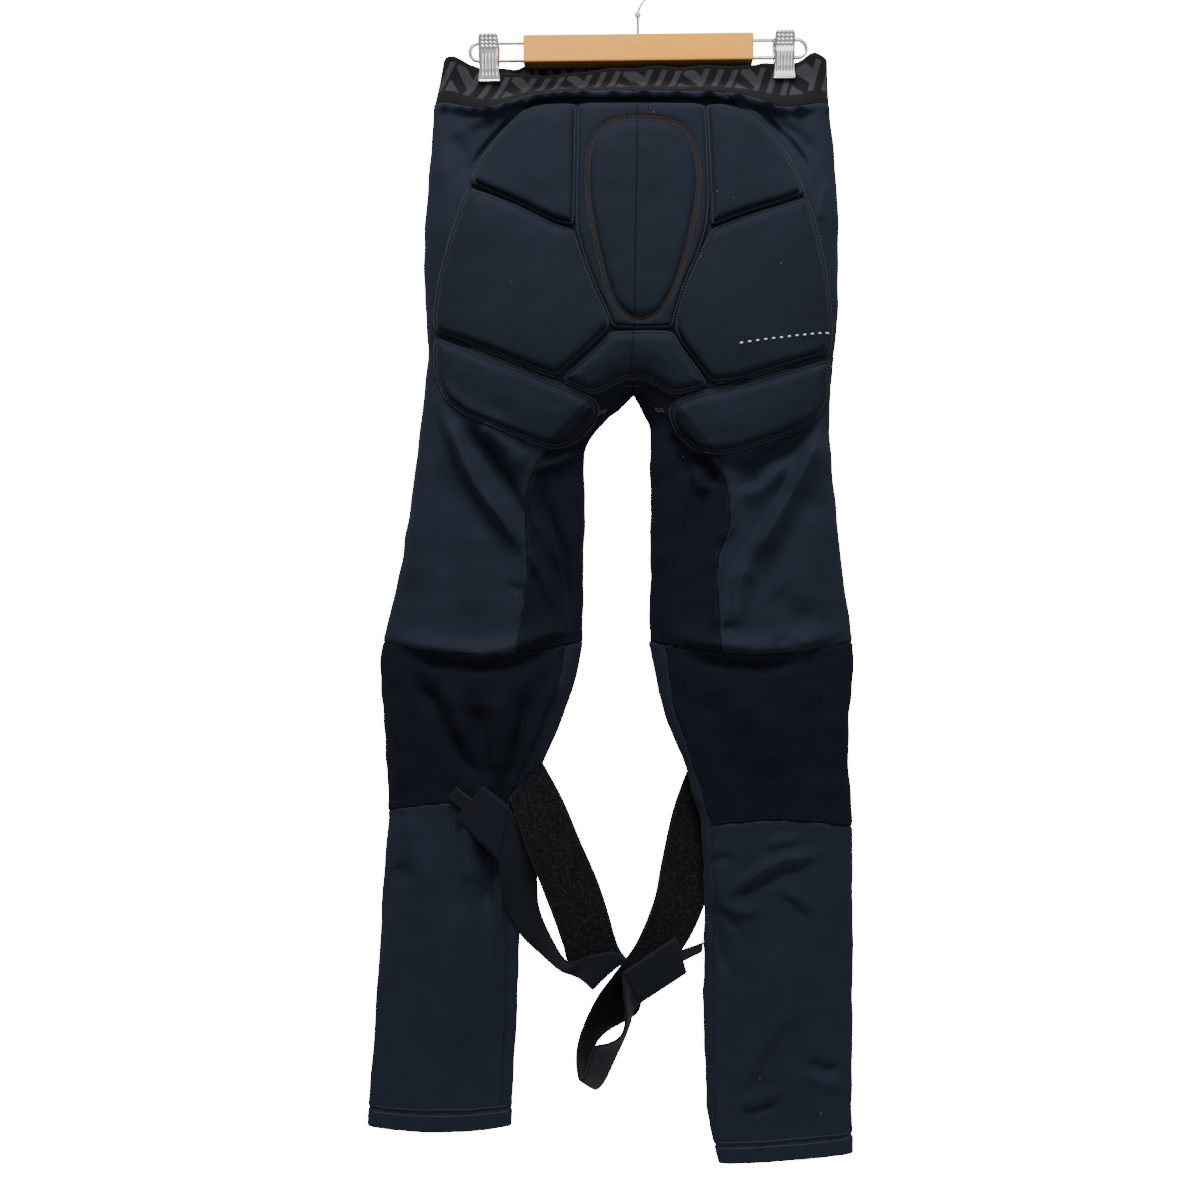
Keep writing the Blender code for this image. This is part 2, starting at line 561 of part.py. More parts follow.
def loft_solid(name, outer, inner, closed, material, collection):
    """A wall between two grids of points, closed round its edges.

    Each grid is a list of rows down the piece. Closed grids run all the way round.
    """
    mesh = bmesh.new()
    faces = []
    grids = [[[mesh.verts.new(point) for point in row] for row in grid] for grid in (outer, inner)]
    rows, columns = len(outer), len(outer[0])
    last = columns if closed else columns - 1
    for grid in grids:
        for i in range(rows - 1):
            for j in range(last):
                k = (j + 1) % columns
                faces.append((grid[i][j], grid[i][k], grid[i + 1][k], grid[i + 1][j]))
    out_grid, in_grid = grids
    for i in (0, rows - 1):
        for j in range(last):
            k = (j + 1) % columns
            faces.append((out_grid[i][j], out_grid[i][k], in_grid[i][k], in_grid[i][j]))
    if not closed:
        for j in (0, columns - 1):
            for i in range(rows - 1):
                faces.append((out_grid[i][j], out_grid[i + 1][j], in_grid[i + 1][j], in_grid[i][j]))
    for corners in faces:
        mesh.faces.new(corners)
    return closed_object(name, mesh, material, collection)


def level_rows(top, bottom):
    """The rows between two seams, each seam keeping half a gap to the next panel."""
    half_gap = SEAM_GAP / 2 / TIGHTS_LENGTH
    top_gap = half_gap if top > 0 else (WAIST_SEAM_GAP - SEAM_GAP / 2) / TIGHTS_LENGTH
    inside = [row for row in LEVEL_ROWS if top + 0.004 < row < bottom - 0.004]
    return [top + top_gap, *inside, bottom - half_gap]


def panel(name, side, rows, first_turn, last_turn, columns, material, collection):
    """A cloth panel between two seams, each given as a function of the drop."""
    outer, inner = [], []
    for drop in rows:
        gap = SEAM_GAP / 2 / section(side, drop)[3]
        first, last = first_turn(drop) + gap, last_turn(drop) - gap
        turns = [first + (last - first) * j / columns for j in range(columns + 1)]
        points = [shell_point(side, drop, turn) for turn in turns]
        walls = [level_normal(side, drop, turn) * CLOTH_WALL for turn in turns]
        outer.append(points)
        inner.append([point - wall for point, wall in zip(points, walls)])
    return loft_solid(name, outer, inner, False, material, collection)


def make_panels(side, materials, collection):
    knee_bottom, hem_top = KNEE_BOTTOM_DROP[side], HEM_TOP_DROP[side]
    tongue_end = TONGUE_INNER[side][-1].drop

    def border(drop):
        return turn_of(side, drop, seam_across(PAD_BORDER[side], drop))

    def tongue(drop):
        if drop < CROTCH_DROP:
            return 0.0
        return turn_of(side, drop, seam_across(TONGUE_INNER[side], drop))

    def thigh(drop):
        return turn_of(side, drop, seam_across(THIGH_SEAM[side], drop))

    def strip_near(drop):
        return turn_of(side, drop, seam_across(STRIP_SEAM[side], drop))

    def far_share(drop, share):
        inner = at_level(side + "_inner", drop) * HALF_HIP
        outer = at_level(side + "_outer", drop) * HALF_HIP
        return turn_of(side, drop, inner + share * (outer - inner), far=True)

    def strip_far(drop):
        return far_share(drop, FAR_STRIP_SHARE)

    def far_hip(drop):
        outer = at_level(side + "_outer", drop) * HALF_HIP
        return turn_of(side, drop, FAR_HIP_SEAM * outer, far=True)

    def far_inner(drop):
        if drop <= CROTCH_DROP:
            return 1.0
        return far_share(drop, FAR_INNER_SHARE * ease((drop - CROTCH_DROP) / 0.06))

    knit, mesh_knit = materials["knit"], materials["mesh_knit"]
    seat_rows = level_rows(0.0, tongue_end)
    panel("seat_panel_" + side, side, seat_rows, tongue, border, 6, knit, collection)

    rows = level_rows(0.0, KNEE_TOP_DROP)
    panel(
        "hip_panel_" + side, side, rows,
        lambda drop: border(drop) if drop < tongue_end else thigh(drop),
        far_hip, 8, knit, collection,
    )
    front_rows = [row for row in rows if row not in ROWS_UNDER_PADS]
    panel("front_panel_" + side, side, front_rows, far_hip, far_inner, 5, knit, collection)

    rows = level_rows(CROTCH_DROP, KNEE_TOP_DROP)
    panel(
        "inner_thigh_" + side, side, rows,
        lambda drop: far_inner(drop) - 1.0,
        lambda drop: tongue(drop) if drop < tongue_end else thigh(drop),
        6, mesh_knit, collection,
    )
    rows = level_rows(KNEE_TOP_DROP, knee_bottom)
    panel("knee_panel_" + side, side, rows, strip_near, strip_far, 14, mesh_knit, collection)
    rows = level_rows(knee_bottom, hem_top)
    panel("calf_panel_" + side, side, rows, strip_near, strip_far, 14, knit, collection)
    rows = level_rows(KNEE_TOP_DROP, hem_top)
    panel(
        "inner_strip_" + side, side, rows,
        lambda drop: strip_far(drop) - 1.0, strip_near, 3, knit, collection,
    )
    make_hem(side, knit, collection)


def make_hem(side, material, collection):
    columns = 18
    half_gap = SEAM_GAP / 2 / TIGHTS_LENGTH
    outer, inner = [], []
    for drop in (HEM_TOP_DROP[side] + half_gap, HEM_BOTTOM_DROP[side]):
        turns = [j / columns for j in range(columns)]
        points = [shell_point(side, drop, turn) for turn in turns]
        walls = [level_normal(side, drop, turn) * CLOTH_WALL for turn in turns]
        outer.append(points)
        inner.append([point - wall for point, wall in zip(points, walls)])
    loft_solid("hem_" + side, outer, inner, True, material, collection)


def band_shut(side, out):
    """1 where the jaw holds both layers flat together, falling to 0 beside it."""
    clip_out = abs(CLIP_X[side] - CENTRE_X)
    beside = max(abs(out - clip_out) - PINCH_FLAT, 0.0)
    return hill(beside, BAND_PINCH_REACH)


def band_point(side, share, far, rise):
    """The waistband's outer face: share of its half width out, 0 to 1 up its height."""
    outer = at_level(side + "_outer", 0.0) * HALF_HIP
    low = shell_point(side, 0.0, turn_of(side, 0.0, share * outer, far))
    low.z = height_of(side, share * outer, 0.0, far) + SEAM_GAP / 2
    out = share * BAND_TOP_OUTER[side] * HALF_HIP
    signed = SIGN[side] * out / HALF_HIP
    layer = "far" if far else "near"
    height = smooth_curve(column(BAND_TOPS, "across"), column(BAND_TOPS, layer), signed)
    clip_out = abs(CLIP_X[side] - CENTRE_X)
    middle_depth = BAND_MID_FAR if far else BAND_MID_NEAR
    depth = BAND_LOBE_DEPTH if out > clip_out else middle_depth
    # Past the clip the end stands open like a lobe, rounded off towards its tip
    if out > clip_out:
        depth *= (1 - share**3) ** (1 / 3)
    top_y = depth + (BAND_FLAT_Y - depth) * band_shut(side, out)
    high = Vector((
        CENTRE_X + SIGN[side] * (out + SEAM_GAP / 2),
        top_y if far else -top_y,
        WAIST_Z + height * BAND_HEIGHT,
    ))
    bend = ease(rise / BAND_SHUT_SHARE)
    return Vector((
        low.x + (high.x - low.x) * rise,
        low.y + (high.y - low.y) * bend,
        low.z + (high.z - low.z) * rise,
    ))


def make_waistband(material, collection):
    """A ring of two layers, lofted from the waist seam to the pinched top edge."""
    path = []
    for side in ("right", "left"):
        clip_out = abs(CLIP_X[side] - CENTRE_X)
        half_width = BAND_TOP_OUTER[side] * HALF_HIP
        in_clip = [(clip_out + reach) / half_width for reach in (-PINCH_FLAT, 0.0, PINCH_FLAT)]
        shares = [*BAND_INNER_COLUMNS, *in_clip, *BAND_OUTER_COLUMNS]
        near_half = [(side, share, False) for share in shares]
        far_half = [(side, share, True) for share in shares]
        end = [(side, 1.0, False)]
        if side == "right":
            path += near_half + end + far_half[::-1]
        else:
            path += far_half + end + near_half[::-1]
    outer, inner = [], []
    for rise in BAND_RINGS:
        ring = [band_point(side, share, far, rise) for side, share, far in path]
        inner_ring = []
        for j, point in enumerate(ring):
            along = ring[(j + 1) % len(ring)] - ring[j - 1]
            normal = Vector((along.y, -along.x, 0.0)).normalized()
            inner_ring.append(point - normal * BAND_WALL)
        outer.append(ring)
        inner.append(inner_ring)
    return loft_solid("waistband", outer, inner, True, material, collection)


def inset_outline(outline, distance):
    """A closed outline moved inwards, each corner along the line that halves it."""
    points = [Vector((x * HALF_HIP, -drop * TIGHTS_LENGTH)) for x, drop in outline]
    area = sum(a.x * b.y - b.x * a.y for a, b in zip(points, points[1:] + points[:1]))
    moved = []
    for j, point in enumerate(points):
        before = (point - points[j - 1]).normalized()
        after = (points[(j + 1) % len(points)] - point).normalized()
        along = (before + after).normalized()
        inward = Vector((-along.y, along.x)) * math.copysign(1.0, area)
        stretch = 1 / max(along.dot(before), 0.55)
        place = point + inward * distance * stretch
        moved.append((place.x / HALF_HIP, -place.y / TIGHTS_LENGTH))
    return moved


def centre_of(outline):
    return (
        sum(point[0] for point in outline) / len(outline),
        sum(point[1] for point in outline) / len(outline),
    )


def shrink(outline, share):
    x, drop = centre_of(outline)
    return [(x + (a - x) * share, drop + (b - drop) * share) for a, b in outline]


def on_pad(across, drop, rise):
    """A point that stands this far off the seat cloth, towards the viewer."""
    side, turn = near_turn(across, drop)
    base = shell_point(side, drop, turn) + level_normal(side, drop, turn) * PAD_SEAT_GAP
    base.x = CENTRE_X + across * HALF_HIP
    return base - Vector((0.0, rise, 0.0))


def make_pad(name, rise, material, collection):
    """A foam pad with steep sides and a flat top, from rings drawn inside its outline."""
    outline = PAD_OUTLINES[name]
    foot = inset_outline(outline, CHANNEL_WIDTH / 2)
    rings = [
        (foot, 0.0),
        (inset_outline(outline, CHANNEL_WIDTH / 2 + PAD_EDGE_ROUND), rise * 0.72),
        (inset_outline(outline, CHANNEL_WIDTH / 2 + PAD_CROWN_INSET), rise),
    ]
    rings.append((shrink(rings[-1][0], 0.5), rise))
    base_rings = [(foot, 0.0), (shrink(foot, 0.60), PAD_HOLLOW)]
    mesh = bmesh.new()
    foot_loop = None
    for stack in (rings, base_rings):
        loops = []
        for ring, lift in stack:
            if ring is foot and foot_loop:
                loops.append(foot_loop)
                continue
            loops.append([mesh.verts.new(on_pad(x, drop, lift)) for x, drop in ring])
        foot_loop = foot_loop or loops[0]
        for low, high in zip(loops, loops[1:]):
            for j in range(len(low)):
                k = (j + 1) % len(low)
                mesh.faces.new((low[j], low[k], high[k], high[j]))
        x, drop = centre_of(stack[-1][0])
        hub = mesh.verts.new(on_pad(x, drop, stack[-1][1]))
        for j in range(len(loops[-1])):
            mesh.faces.new((loops[-1][j], loops[-1][(j + 1) % len(loops[-1])], hub))
    return closed_object(name, mesh, material, collection)


def by_angle(outline, centre, angles):
    """Where rays from a centre meet a closed outline."""
    scale = np.array([HALF_HIP, -TIGHTS_LENGTH])
    corners = (np.array(outline) - centre) * scale
    found = []
    for angle in angles:
        ray = np.array([math.cos(angle), math.sin(angle)])
        reach = 0.0
        for a, b in zip(corners, np.roll(corners, -1, axis=0)):
            edge = b - a
            cross = ray[0] * edge[1] - ray[1] * edge[0]
            if abs(cross) < 1e-12:
                continue
            far = (a[0] * edge[1] - a[1] * edge[0]) / cross
            share = (a[0] * ray[1] - a[1] * ray[0]) / cross
            if far > 0 and -1e-9 <= share <= 1 + 1e-9:
                reach = max(reach, far)
        found.append(tuple(np.array(centre) + ray * reach / scale))
    return found


def make_pad_ring(name, inside_name, rise, material, collection):
    """A pad with a hole for the oval pad inside it."""
    hole = PAD_OUTLINES[inside_name]
    centre = centre_of(hole)
    scale = np.array([HALF_HIP, -TIGHTS_LENGTH])
    offsets = (np.array(PAD_OUTLINES[name]) - centre) * scale
    angles = [math.atan2(y, x) for x, y in offsets]
    half = CHANNEL_WIDTH / 2
    outline = PAD_OUTLINES[name]

    def outside(inset):
        return by_angle(inset_outline(outline, inset), centre, angles)

    def inside(inset):
        return by_angle(inset_outline(hole, -inset), centre, angles)

    loops = [
        (outside(half), 0.0),
        (outside(half + PAD_EDGE_ROUND), rise),
        (inside(half + PAD_EDGE_ROUND), rise),
        (inside(half), 0.0),
    ]
    mesh = bmesh.new()
    made = [[mesh.verts.new(on_pad(x, drop, lift)) for x, drop in ring] for ring, lift in loops]
    for low, high in zip(made, made[1:] + made[:1]):
        for j in range(len(low)):
            k = (j + 1) % len(low)
            mesh.faces.new((low[j], low[k], high[k], high[j]))
    return closed_object(name, mesh, material, collection)


def place(across, drop, depth):
    """World position of a free point given in shares of the tights' sizes."""
    return Vector((
        CENTRE_X + across * HALF_HIP,
        depth * HANG_DEPTH,
        WAIST_Z - drop * TIGHTS_LENGTH,
    ))


def sewn_point(side, across, drop, far):
    """A point that lies on the outside of a leg, for the middle of a strap's thickness."""
    turn = turn_of(side, drop, across * HALF_HIP, far)
    lift = STRAP_SEAT_GAP[side] + STRAP_WALL / 2
    return shell_point(side, drop, turn) + level_normal(side, drop, turn) * lift


def catmull(points, steps):
    """A smooth line through the points."""
    line = []
    last = len(points) - 1
    for i in range(last):
        p0, p1, p2, p3 = points[max(i - 1, 0)], points[i], points[i + 1], points[min(i + 2, last)]
        for k in range(steps):
            t = k / steps
            line.append(
                0.5 * (2 * p1 + (p2 - p0) * t + (2 * p0 - 5 * p1 + 4 * p2 - p3) * t**2
                       + (3 * p1 - 3 * p2 + p3 - p0) * t**3)
            )
    line.append(points[-1])
    return line


def sheet_object(name, grid, wall, material, collection):
    """An open grid of points made into cloth of this thickness by Solidify."""
    mesh = bmesh.new()
    verts = [[mesh.verts.new(point) for point in row] for row in grid]
    for i in range(len(grid) - 1):
        for j in range(len(grid[0]) - 1):
            mesh.faces.new((verts[i][j], verts[i][j + 1], verts[i + 1][j + 1], verts[i + 1][j]))
    thing = mesh_object(name, mesh, material, collection)
    solidify = thing.modifiers.new("cloth", "SOLIDIFY")
    solidify.thickness = wall
    solidify.offset = 0.0
    return thing


def make_strap(side, materials, collection):
    root = STRAP_ROOTS[side]
    sewn = []
    for share in (0.0, 0.5, 1.0):
        across = root.across + (root.other_across - root.across) * share
        drop = root.drop + (root.other_drop - root.drop) * share
        sewn.append(sewn_point(side, across, drop, root.far))
    one, other = [sewn[0]], [sewn[2]]
    bow = sewn[1] - (sewn[0] + sewn[2]) / 2
    for row in STRAP_STATIONS[side]:
        one.append(place(row.across, row.drop, row.depth))
        other.append(place(row.other_across, row.other_drop, row.other_depth))
    edges = catmull(one, 2), catmull(other, 2)
    grid = []
    for i, (a, b) in enumerate(zip(*edges)):
        grid.append([a, (a + b) / 2 + bow * max(1 - i / 4, 0.0), b])
    sheet_object("strap_" + side, grid, STRAP_WALL, materials["strap"], collection)
    patch_edge = [place(*corner) for corner in STRAP_ENDS[side]]
    strap_edge = one[-1], other[-1]
    end_piece("strap_end_" + side, strap_edge, patch_edge, STRAP_END_WALL, materials, collection)
    tab = PULL_TABS[side]
    tab_root = [patch_edge[0].lerp(patch_edge[1], t) for t in (tab.from_share, tab.to_share)]
    tab_edge = place(*tab.one), place(*tab.other)
    end_piece("pull_tab_" + side, tab_root, tab_edge, PULL_TAB_WALL, materials, collection)


def end_piece(name, root_edge, far_edge, wall, materials, collection):
    """A flat piece that starts just beyond the edge it is sewn to."""
    (a, d), (b, c) = root_edge, far_edge
    along = (d - a).normalized()
    away = (b + c - a - d) / 2
    away = (away - along * away.dot(along)).normalized() * END_PIECE_GAP
    a, d = a + away, d + away
    grid = [[a.lerp(b, t).lerp(d.lerp(c, t), s) for s in (0, 0.5, 1)] for t in (0, 0.5, 1)]
    sheet_object(name, grid, wall, materials["strap"], collection)


def wire(name, points, diameter, material, parent, collection):
    curve = bpy.data.curves.new(name, "CURVE")
    curve.dimensions = "3D"
    curve.bevel_depth = diameter / 2
    curve.bevel_resolution = 2
    curve.use_fill_caps = True
    spline = curve.splines.new("POLY")
    spline.points.add(len(points) - 1)
    for slot, point in zip(spline.points, points):
        slot.co = (*point, 1.0)
    curve.materials.append(material)
    thing = bpy.data.objects.new(name, curve)
    collection.objects.link(thing)
    thing.parent = parent
    return thing


def cylinder(name, diameter, length, centre, axis, material, parent, collection):
    mesh = bmesh.new()
    bmesh.ops.create_cone(
        mesh, cap_ends=True, segments=ROUND_SIDES,
        radius1=diameter / 2, radius2=diameter / 2, depth=length,
    )
    thing = mesh_object(name, mesh, material, collection)
    thing.location = centre
    if axis == "X":
        thing.rotation_euler = (0.0, math.pi / 2, 0.0)
    thing.parent = parent
    return thing


def combine(thing, helper, operation):
    """Cuts the helper out of the thing, or joins it on."""
    helper.hide_render = True
    helper.display_type = "WIRE"
    boolean = thing.modifiers.new(helper.name, "BOOLEAN")
    boolean.operation = operation
    boolean.object = helper


def block(name, size, centre, material, parent, collection):
    mesh = bmesh.new()
    bmesh.ops.create_cube(mesh, size=1.0)
    bmesh.ops.scale(mesh, vec=size, verts=mesh.verts)
    thing = mesh_object(name, mesh, material, collection)
    thing.location = centre
    thing.parent = parent
    return thing


def make_bar(materials, tilt, collection, cutters):
    bar = block(
        "wood_bar", (BAR_LENGTH, BAR_DEPTH, BAR_HEIGHT), (0.0, 0.0, BAR_CENTRE_Z),
        materials["wood"], tilt, collection,
    )
    edges = bar.modifiers.new("edges", "BEVEL")
    edges.width = BAR_EDGE_ROUND
    edges.segments = 2
    wood = materials["wood"]
    hole = RAIL_WIRE + 2 * CLEARANCE
    depth = RAIL_SEAT_DEPTH + CLEARANCE + CUTTER_OVERSHOOT
    for side in ("left", "right"):
        for level, z in (("upper", RAIL_UPPER_Z), ("lower", RAIL_LOWER_Z)):
            x = SIGN[side] * (BAR_LENGTH / 2 + CUTTER_OVERSHOOT - depth / 2)
            name = f"rail_hole_{side}_{level}"
            cutter = cylinder(name, hole, depth, (x, 0.0, z), "X", wood, tilt, cutters)
            combine(bar, cutter, "DIFFERENCE")
    depth = STEM_SEAT_DEPTH + CLEARANCE + CUTTER_OVERSHOOT
    centre = (0.0, 0.0, BAR_TOP_Z + CUTTER_OVERSHOOT - depth / 2)
    hole = STEM_WIRE + 2 * CLEARANCE
    cutter = cylinder("stem_hole", hole, depth, centre, "Z", wood, tilt, cutters)
    combine(bar, cutter, "DIFFERENCE")


def make_rail(side, materials, tilt, collection):
    """One wire loop: out along the upper run, round the end and back along the lower one."""
    sign = SIGN[side]
    radius = RAIL_SPACING / 2
    turn_x = RAIL_SPAN / 2 - RAIL_WIRE / 2 - radius
    seat_x = BAR_LENGTH / 2 - RAIL_SEAT_DEPTH
    points = [(sign * seat_x, 0.0, RAIL_UPPER_Z)]
    for k in range(9):
        angle = math.pi / 2 - math.pi * k / 8
        x = turn_x + radius * math.cos(angle)
        points.append((sign * x, 0.0, BAR_CENTRE_Z + radius * math.sin(angle)))
    points.append((sign * seat_x, 0.0, RAIL_LOWER_Z))
    wire("rail_" + side, points, RAIL_WIRE, materials["chrome"], tilt, collection)


def make_hook(materials, tilt, collection, cutters):
    stem_foot = BAR_TOP_Z - STEM_SEAT_DEPTH
    stem_top = COLLAR_Z - CLEARANCE / 2
    stem = [(0.0, 0.0, stem_foot), (0.0, 0.0, stem_top)]
    wire("stem", stem, STEM_WIRE, materials["chrome"], tilt, collection)

    centre_z = HOOK_WIRE / 2 - HOOK_RADIUS
    points = []
    for k in range(HOOK_STEPS + 1):
        angle = math.radians(HOOK_MOUTH_ANGLE - HOOK_SWEEP * k / HOOK_STEPS)
        x, z = HOOK_RADIUS * math.cos(angle), centre_z + HOOK_RADIUS * math.sin(angle)
        points.append((x, 0.0, z))
    last = Vector(points[-1])
    foot = Vector((0.0, 0.0, COLLAR_Z + CLEARANCE / 2))
    knee = Vector((0.0, 0.0, last.z - 0.55 * (last.z - foot.z)))
    points += [tuple(last.lerp(knee, 0.5)), tuple(knee), tuple(foot)]
    wire("hook", points, HOOK_WIRE, materials["steel"], tilt, collection)

    chrome = materials["chrome"]
    mesh = bmesh.new()
    bmesh.ops.create_uvsphere(
        mesh, u_segments=ROUND_SIDES, v_segments=6, radius=COLLAR_DIAMETER / 2
    )
    collar = mesh_object("collar", mesh, chrome, collection)
    centre = (0.0, 0.0, COLLAR_Z)
    collar.location = centre
    collar.parent = tilt
    hole, depth = STEM_WIRE + 2 * CLEARANCE, 2 * COLLAR_DIAMETER
    cutter = cylinder("collar_hole", hole, depth, centre, "Z", chrome, tilt, cutters)
    combine(collar, cutter, "DIFFERENCE")


def jaw_profile(grip_y):
    """The jaw's plate from its thumb end to its lip: height over the pin, depth, half width."""
    half, lip = JAW_WIDTH / 2, JAW_LIP_WIDTH / 2
    top, tip = JAW_TOP_ABOVE_PIN, -JAW_TIP_BELOW_PIN
    return (
        (top, grip_y + JAW_TOP_LEAN, half * JAW_NECK_SHARE),
        (top * 0.5, grip_y + JAW_TOP_LEAN * 0.72, half),
        (0.0, grip_y + JAW_TOP_LEAN * 0.46, half),
        (tip * 0.25, grip_y + JAW_TOP_LEAN * 0.27, half),
        (tip * 0.60, grip_y, half),
        (tip * 0.94, grip_y, lip),
        (tip, grip_y + JAW_TIP_FLARE, lip),
    )


def make_clip(side, materials, tilt, collection, cutters):
    x = CLIP_X[side]
    centre = (x, 0.0, BAR_CENTRE_Z)
    chrome = materials["chrome"]
    cylinder("clip_pin_" + side, PIN_DIAMETER, PIN_LENGTH, centre, "X", chrome, tilt, collection)

    height = RAIL_SPACING + RAIL_WIRE + 2 * CLEARANCE + 2 * SLIDER_RIM
    size = (SLIDER_WIDTH, SLIDER_DEPTH, height)
    slider = block("clip_slider_" + side, size, centre, chrome, tilt, collection)
    wire_bore, pin_bore = RAIL_WIRE + 2 * CLEARANCE, PIN_DIAMETER + 2 * CLEARANCE
    for level, z, bore in (
        ("upper", RAIL_UPPER_Z, wire_bore), ("lower", RAIL_LOWER_Z, wire_bore),
        ("pin", BAR_CENTRE_Z, pin_bore),
    ):
        name = f"slider_hole_{side}_{level}"
        cutter = cylinder(name, bore, 2 * SLIDER_WIDTH, (x, 0.0, z), "X", chrome, tilt, cutters)
        combine(slider, cutter, "DIFFERENCE")

    grip_y = BAND_FLAT_Y + CLEARANCE + JAW_WALL / 2
    profile = jaw_profile(grip_y)
    pin_plate_y = next(y for z, y, _ in profile if z == 0.0)
    ear_inset = EAR_WALL + 2 * CLEARANCE
    for facing, away, inset in (("front", -1.0, 0.0), ("back", 1.0, ear_inset)):
        name = f"clip_{facing}_jaw_{side}"
        rows = [[Vector((s * half, away * y, z)) for s in (-1, 1)] for z, y, half in profile]
        jaw = sheet_object(name, rows, JAW_WALL, chrome, collection)
        jaw.location = centre
        jaw.parent = tilt
        # The back jaw's ears stand inside the front jaw's, all four on the one pin
        ear_x = JAW_WIDTH / 2 - inset - EAR_WALL / 2
        for end, s in (("low", -1.0), ("high", 1.0)):
            place_x = x + s * ear_x
            ear = cylinder(
                f"{name}_ear_{end}", 2 * EAR_RADIUS, EAR_WALL, (place_x, 0.0, BAR_CENTRE_Z),
                "X", chrome, tilt, cutters,
            )
            combine(jaw, ear, "UNION")
            arm = block(
                f"{name}_arm_{end}", (EAR_WALL, pin_plate_y, 2 * EAR_RADIUS),
                (place_x, away * pin_plate_y / 2, BAR_CENTRE_Z), chrome, tilt, cutters,
            )
            combine(jaw, arm, "UNION")
        cutter = cylinder(name + "_hole", pin_bore, 2 * JAW_WIDTH, centre, "X", chrome, tilt, cutters)
        combine(jaw, cutter, "DIFFERENCE")


def make_materials():
    return {
        "knit": principled("stretch_knit", (0.016, 0.020, 0.028), 0.75),
        "mesh_knit": principled("mesh_knit", (0.008, 0.009, 0.012), 0.9),
        "pad": principled("pad_cloth", (0.020, 0.025, 0.034), 0.75),
        "band": principled("band_knit", (0.022, 0.019, 0.021), 0.9),
        "strap": principled("strap_webbing", (0.012, 0.014, 0.020), 0.85),
        "wood": principled("wood", (0.65, 0.38, 0.16), 0.45),
        "chrome": principled("chrome", (0.75, 0.75, 0.76), 0.12, 1.0),
        "steel": principled("steel", (0.35, 0.35, 0.36), 0.3, 1.0),
    }


def main():
    clear_scene()
    bpy.context.scene.unit_settings.scale_length = 1.0
    tights_on_hanger = new_collection("padded_tights_on_clip_hanger")
    cutters = new_collection("cutters")
    materials = make_materials()

    for side in ("left", "right"):
        make_panels(side, materials, tights_on_hanger)
    make_waistband(materials["band"], tights_on_hanger)
    rises = {"pad_tailbone": TAILBONE_RISE, "pad_crotch": CROTCH_RISE}
    for name in PAD_OUTLINES:
        if name != "pad_centre":
            make_pad(name, rises.get(name, PAD_RISE), materials["pad"], tights_on_hanger)
    make_pad_ring("pad_centre", "pad_tailbone", CENTRE_RISE, materials["pad"], tights_on_hanger)
    for side in ("left", "right"):
        make_strap(side, materials, tights_on_hanger)

    tilt = bpy.data.objects.new("hanger_tilt", None)
    tilt.rotation_euler = (0.0, -HANGER_TILT, 0.0)
    tights_on_hanger.objects.link(tilt)
    make_bar(materials, tilt, tights_on_hanger, cutters)
    make_hook(materials, tilt, tights_on_hanger, cutters)
    for side in ("left", "right"):
        make_rail(side, materials, tilt, tights_on_hanger)
        make_clip(side, materials, tilt, tights_on_hanger, cutters)


main()
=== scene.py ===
# %% [markdown]
# # Padded tights on a clip hanger
# The real thing is a pair of long knitted tights with foam pads sewn over the seat, the hips
# and the backs of the thighs. It hangs by its waistband from two sprung clips on a wooden
# hanger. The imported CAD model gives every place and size. This script dresses it: cloth with
# folds and stitched seams, pads with rounded edges, and metal and wood with a finish.

import json
import math
from collections import namedtuple
from functools import lru_cache

import bmesh
import bpy
import numpy as np
from mathutils import Euler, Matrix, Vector, geometry
from mathutils.bvhtree import BVHTree

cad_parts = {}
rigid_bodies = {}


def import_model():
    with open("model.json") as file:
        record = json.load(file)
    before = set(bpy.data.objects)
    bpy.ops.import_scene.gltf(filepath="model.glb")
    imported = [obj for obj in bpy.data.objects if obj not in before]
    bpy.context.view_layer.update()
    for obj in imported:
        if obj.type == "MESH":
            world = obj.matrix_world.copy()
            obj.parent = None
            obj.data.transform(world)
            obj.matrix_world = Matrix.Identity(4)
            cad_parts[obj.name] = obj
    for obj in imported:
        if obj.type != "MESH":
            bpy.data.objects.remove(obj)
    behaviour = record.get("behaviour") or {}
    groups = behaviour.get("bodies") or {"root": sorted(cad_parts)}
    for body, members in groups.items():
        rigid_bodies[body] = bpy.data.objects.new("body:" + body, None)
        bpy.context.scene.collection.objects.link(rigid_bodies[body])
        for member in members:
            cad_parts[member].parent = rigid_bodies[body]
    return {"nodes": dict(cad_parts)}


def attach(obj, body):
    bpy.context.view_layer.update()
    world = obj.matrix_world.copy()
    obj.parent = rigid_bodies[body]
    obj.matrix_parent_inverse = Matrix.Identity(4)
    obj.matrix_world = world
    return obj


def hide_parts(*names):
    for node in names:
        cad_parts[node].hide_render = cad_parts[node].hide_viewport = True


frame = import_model()
scene = bpy.context.scene
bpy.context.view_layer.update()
print("CAD nodes:", len(frame["nodes"]))

# %% [markdown]
# ## Camera and light
# The photograph looks straight at the seat side from about a metre away, at the height of
# the thighs, against plain white. A level camera with the same viewing angle repeats it. The
# light there is soft and comes from above, so a wide area light hangs above and in front of
# the object, and a pale sky fills in the rest.

# %% Camera
CAMERA_PLACE = (-0.0326, -1.059, -0.569)
SENSOR_WIDTH, LENS = 36.0, 36.1  # millimetres

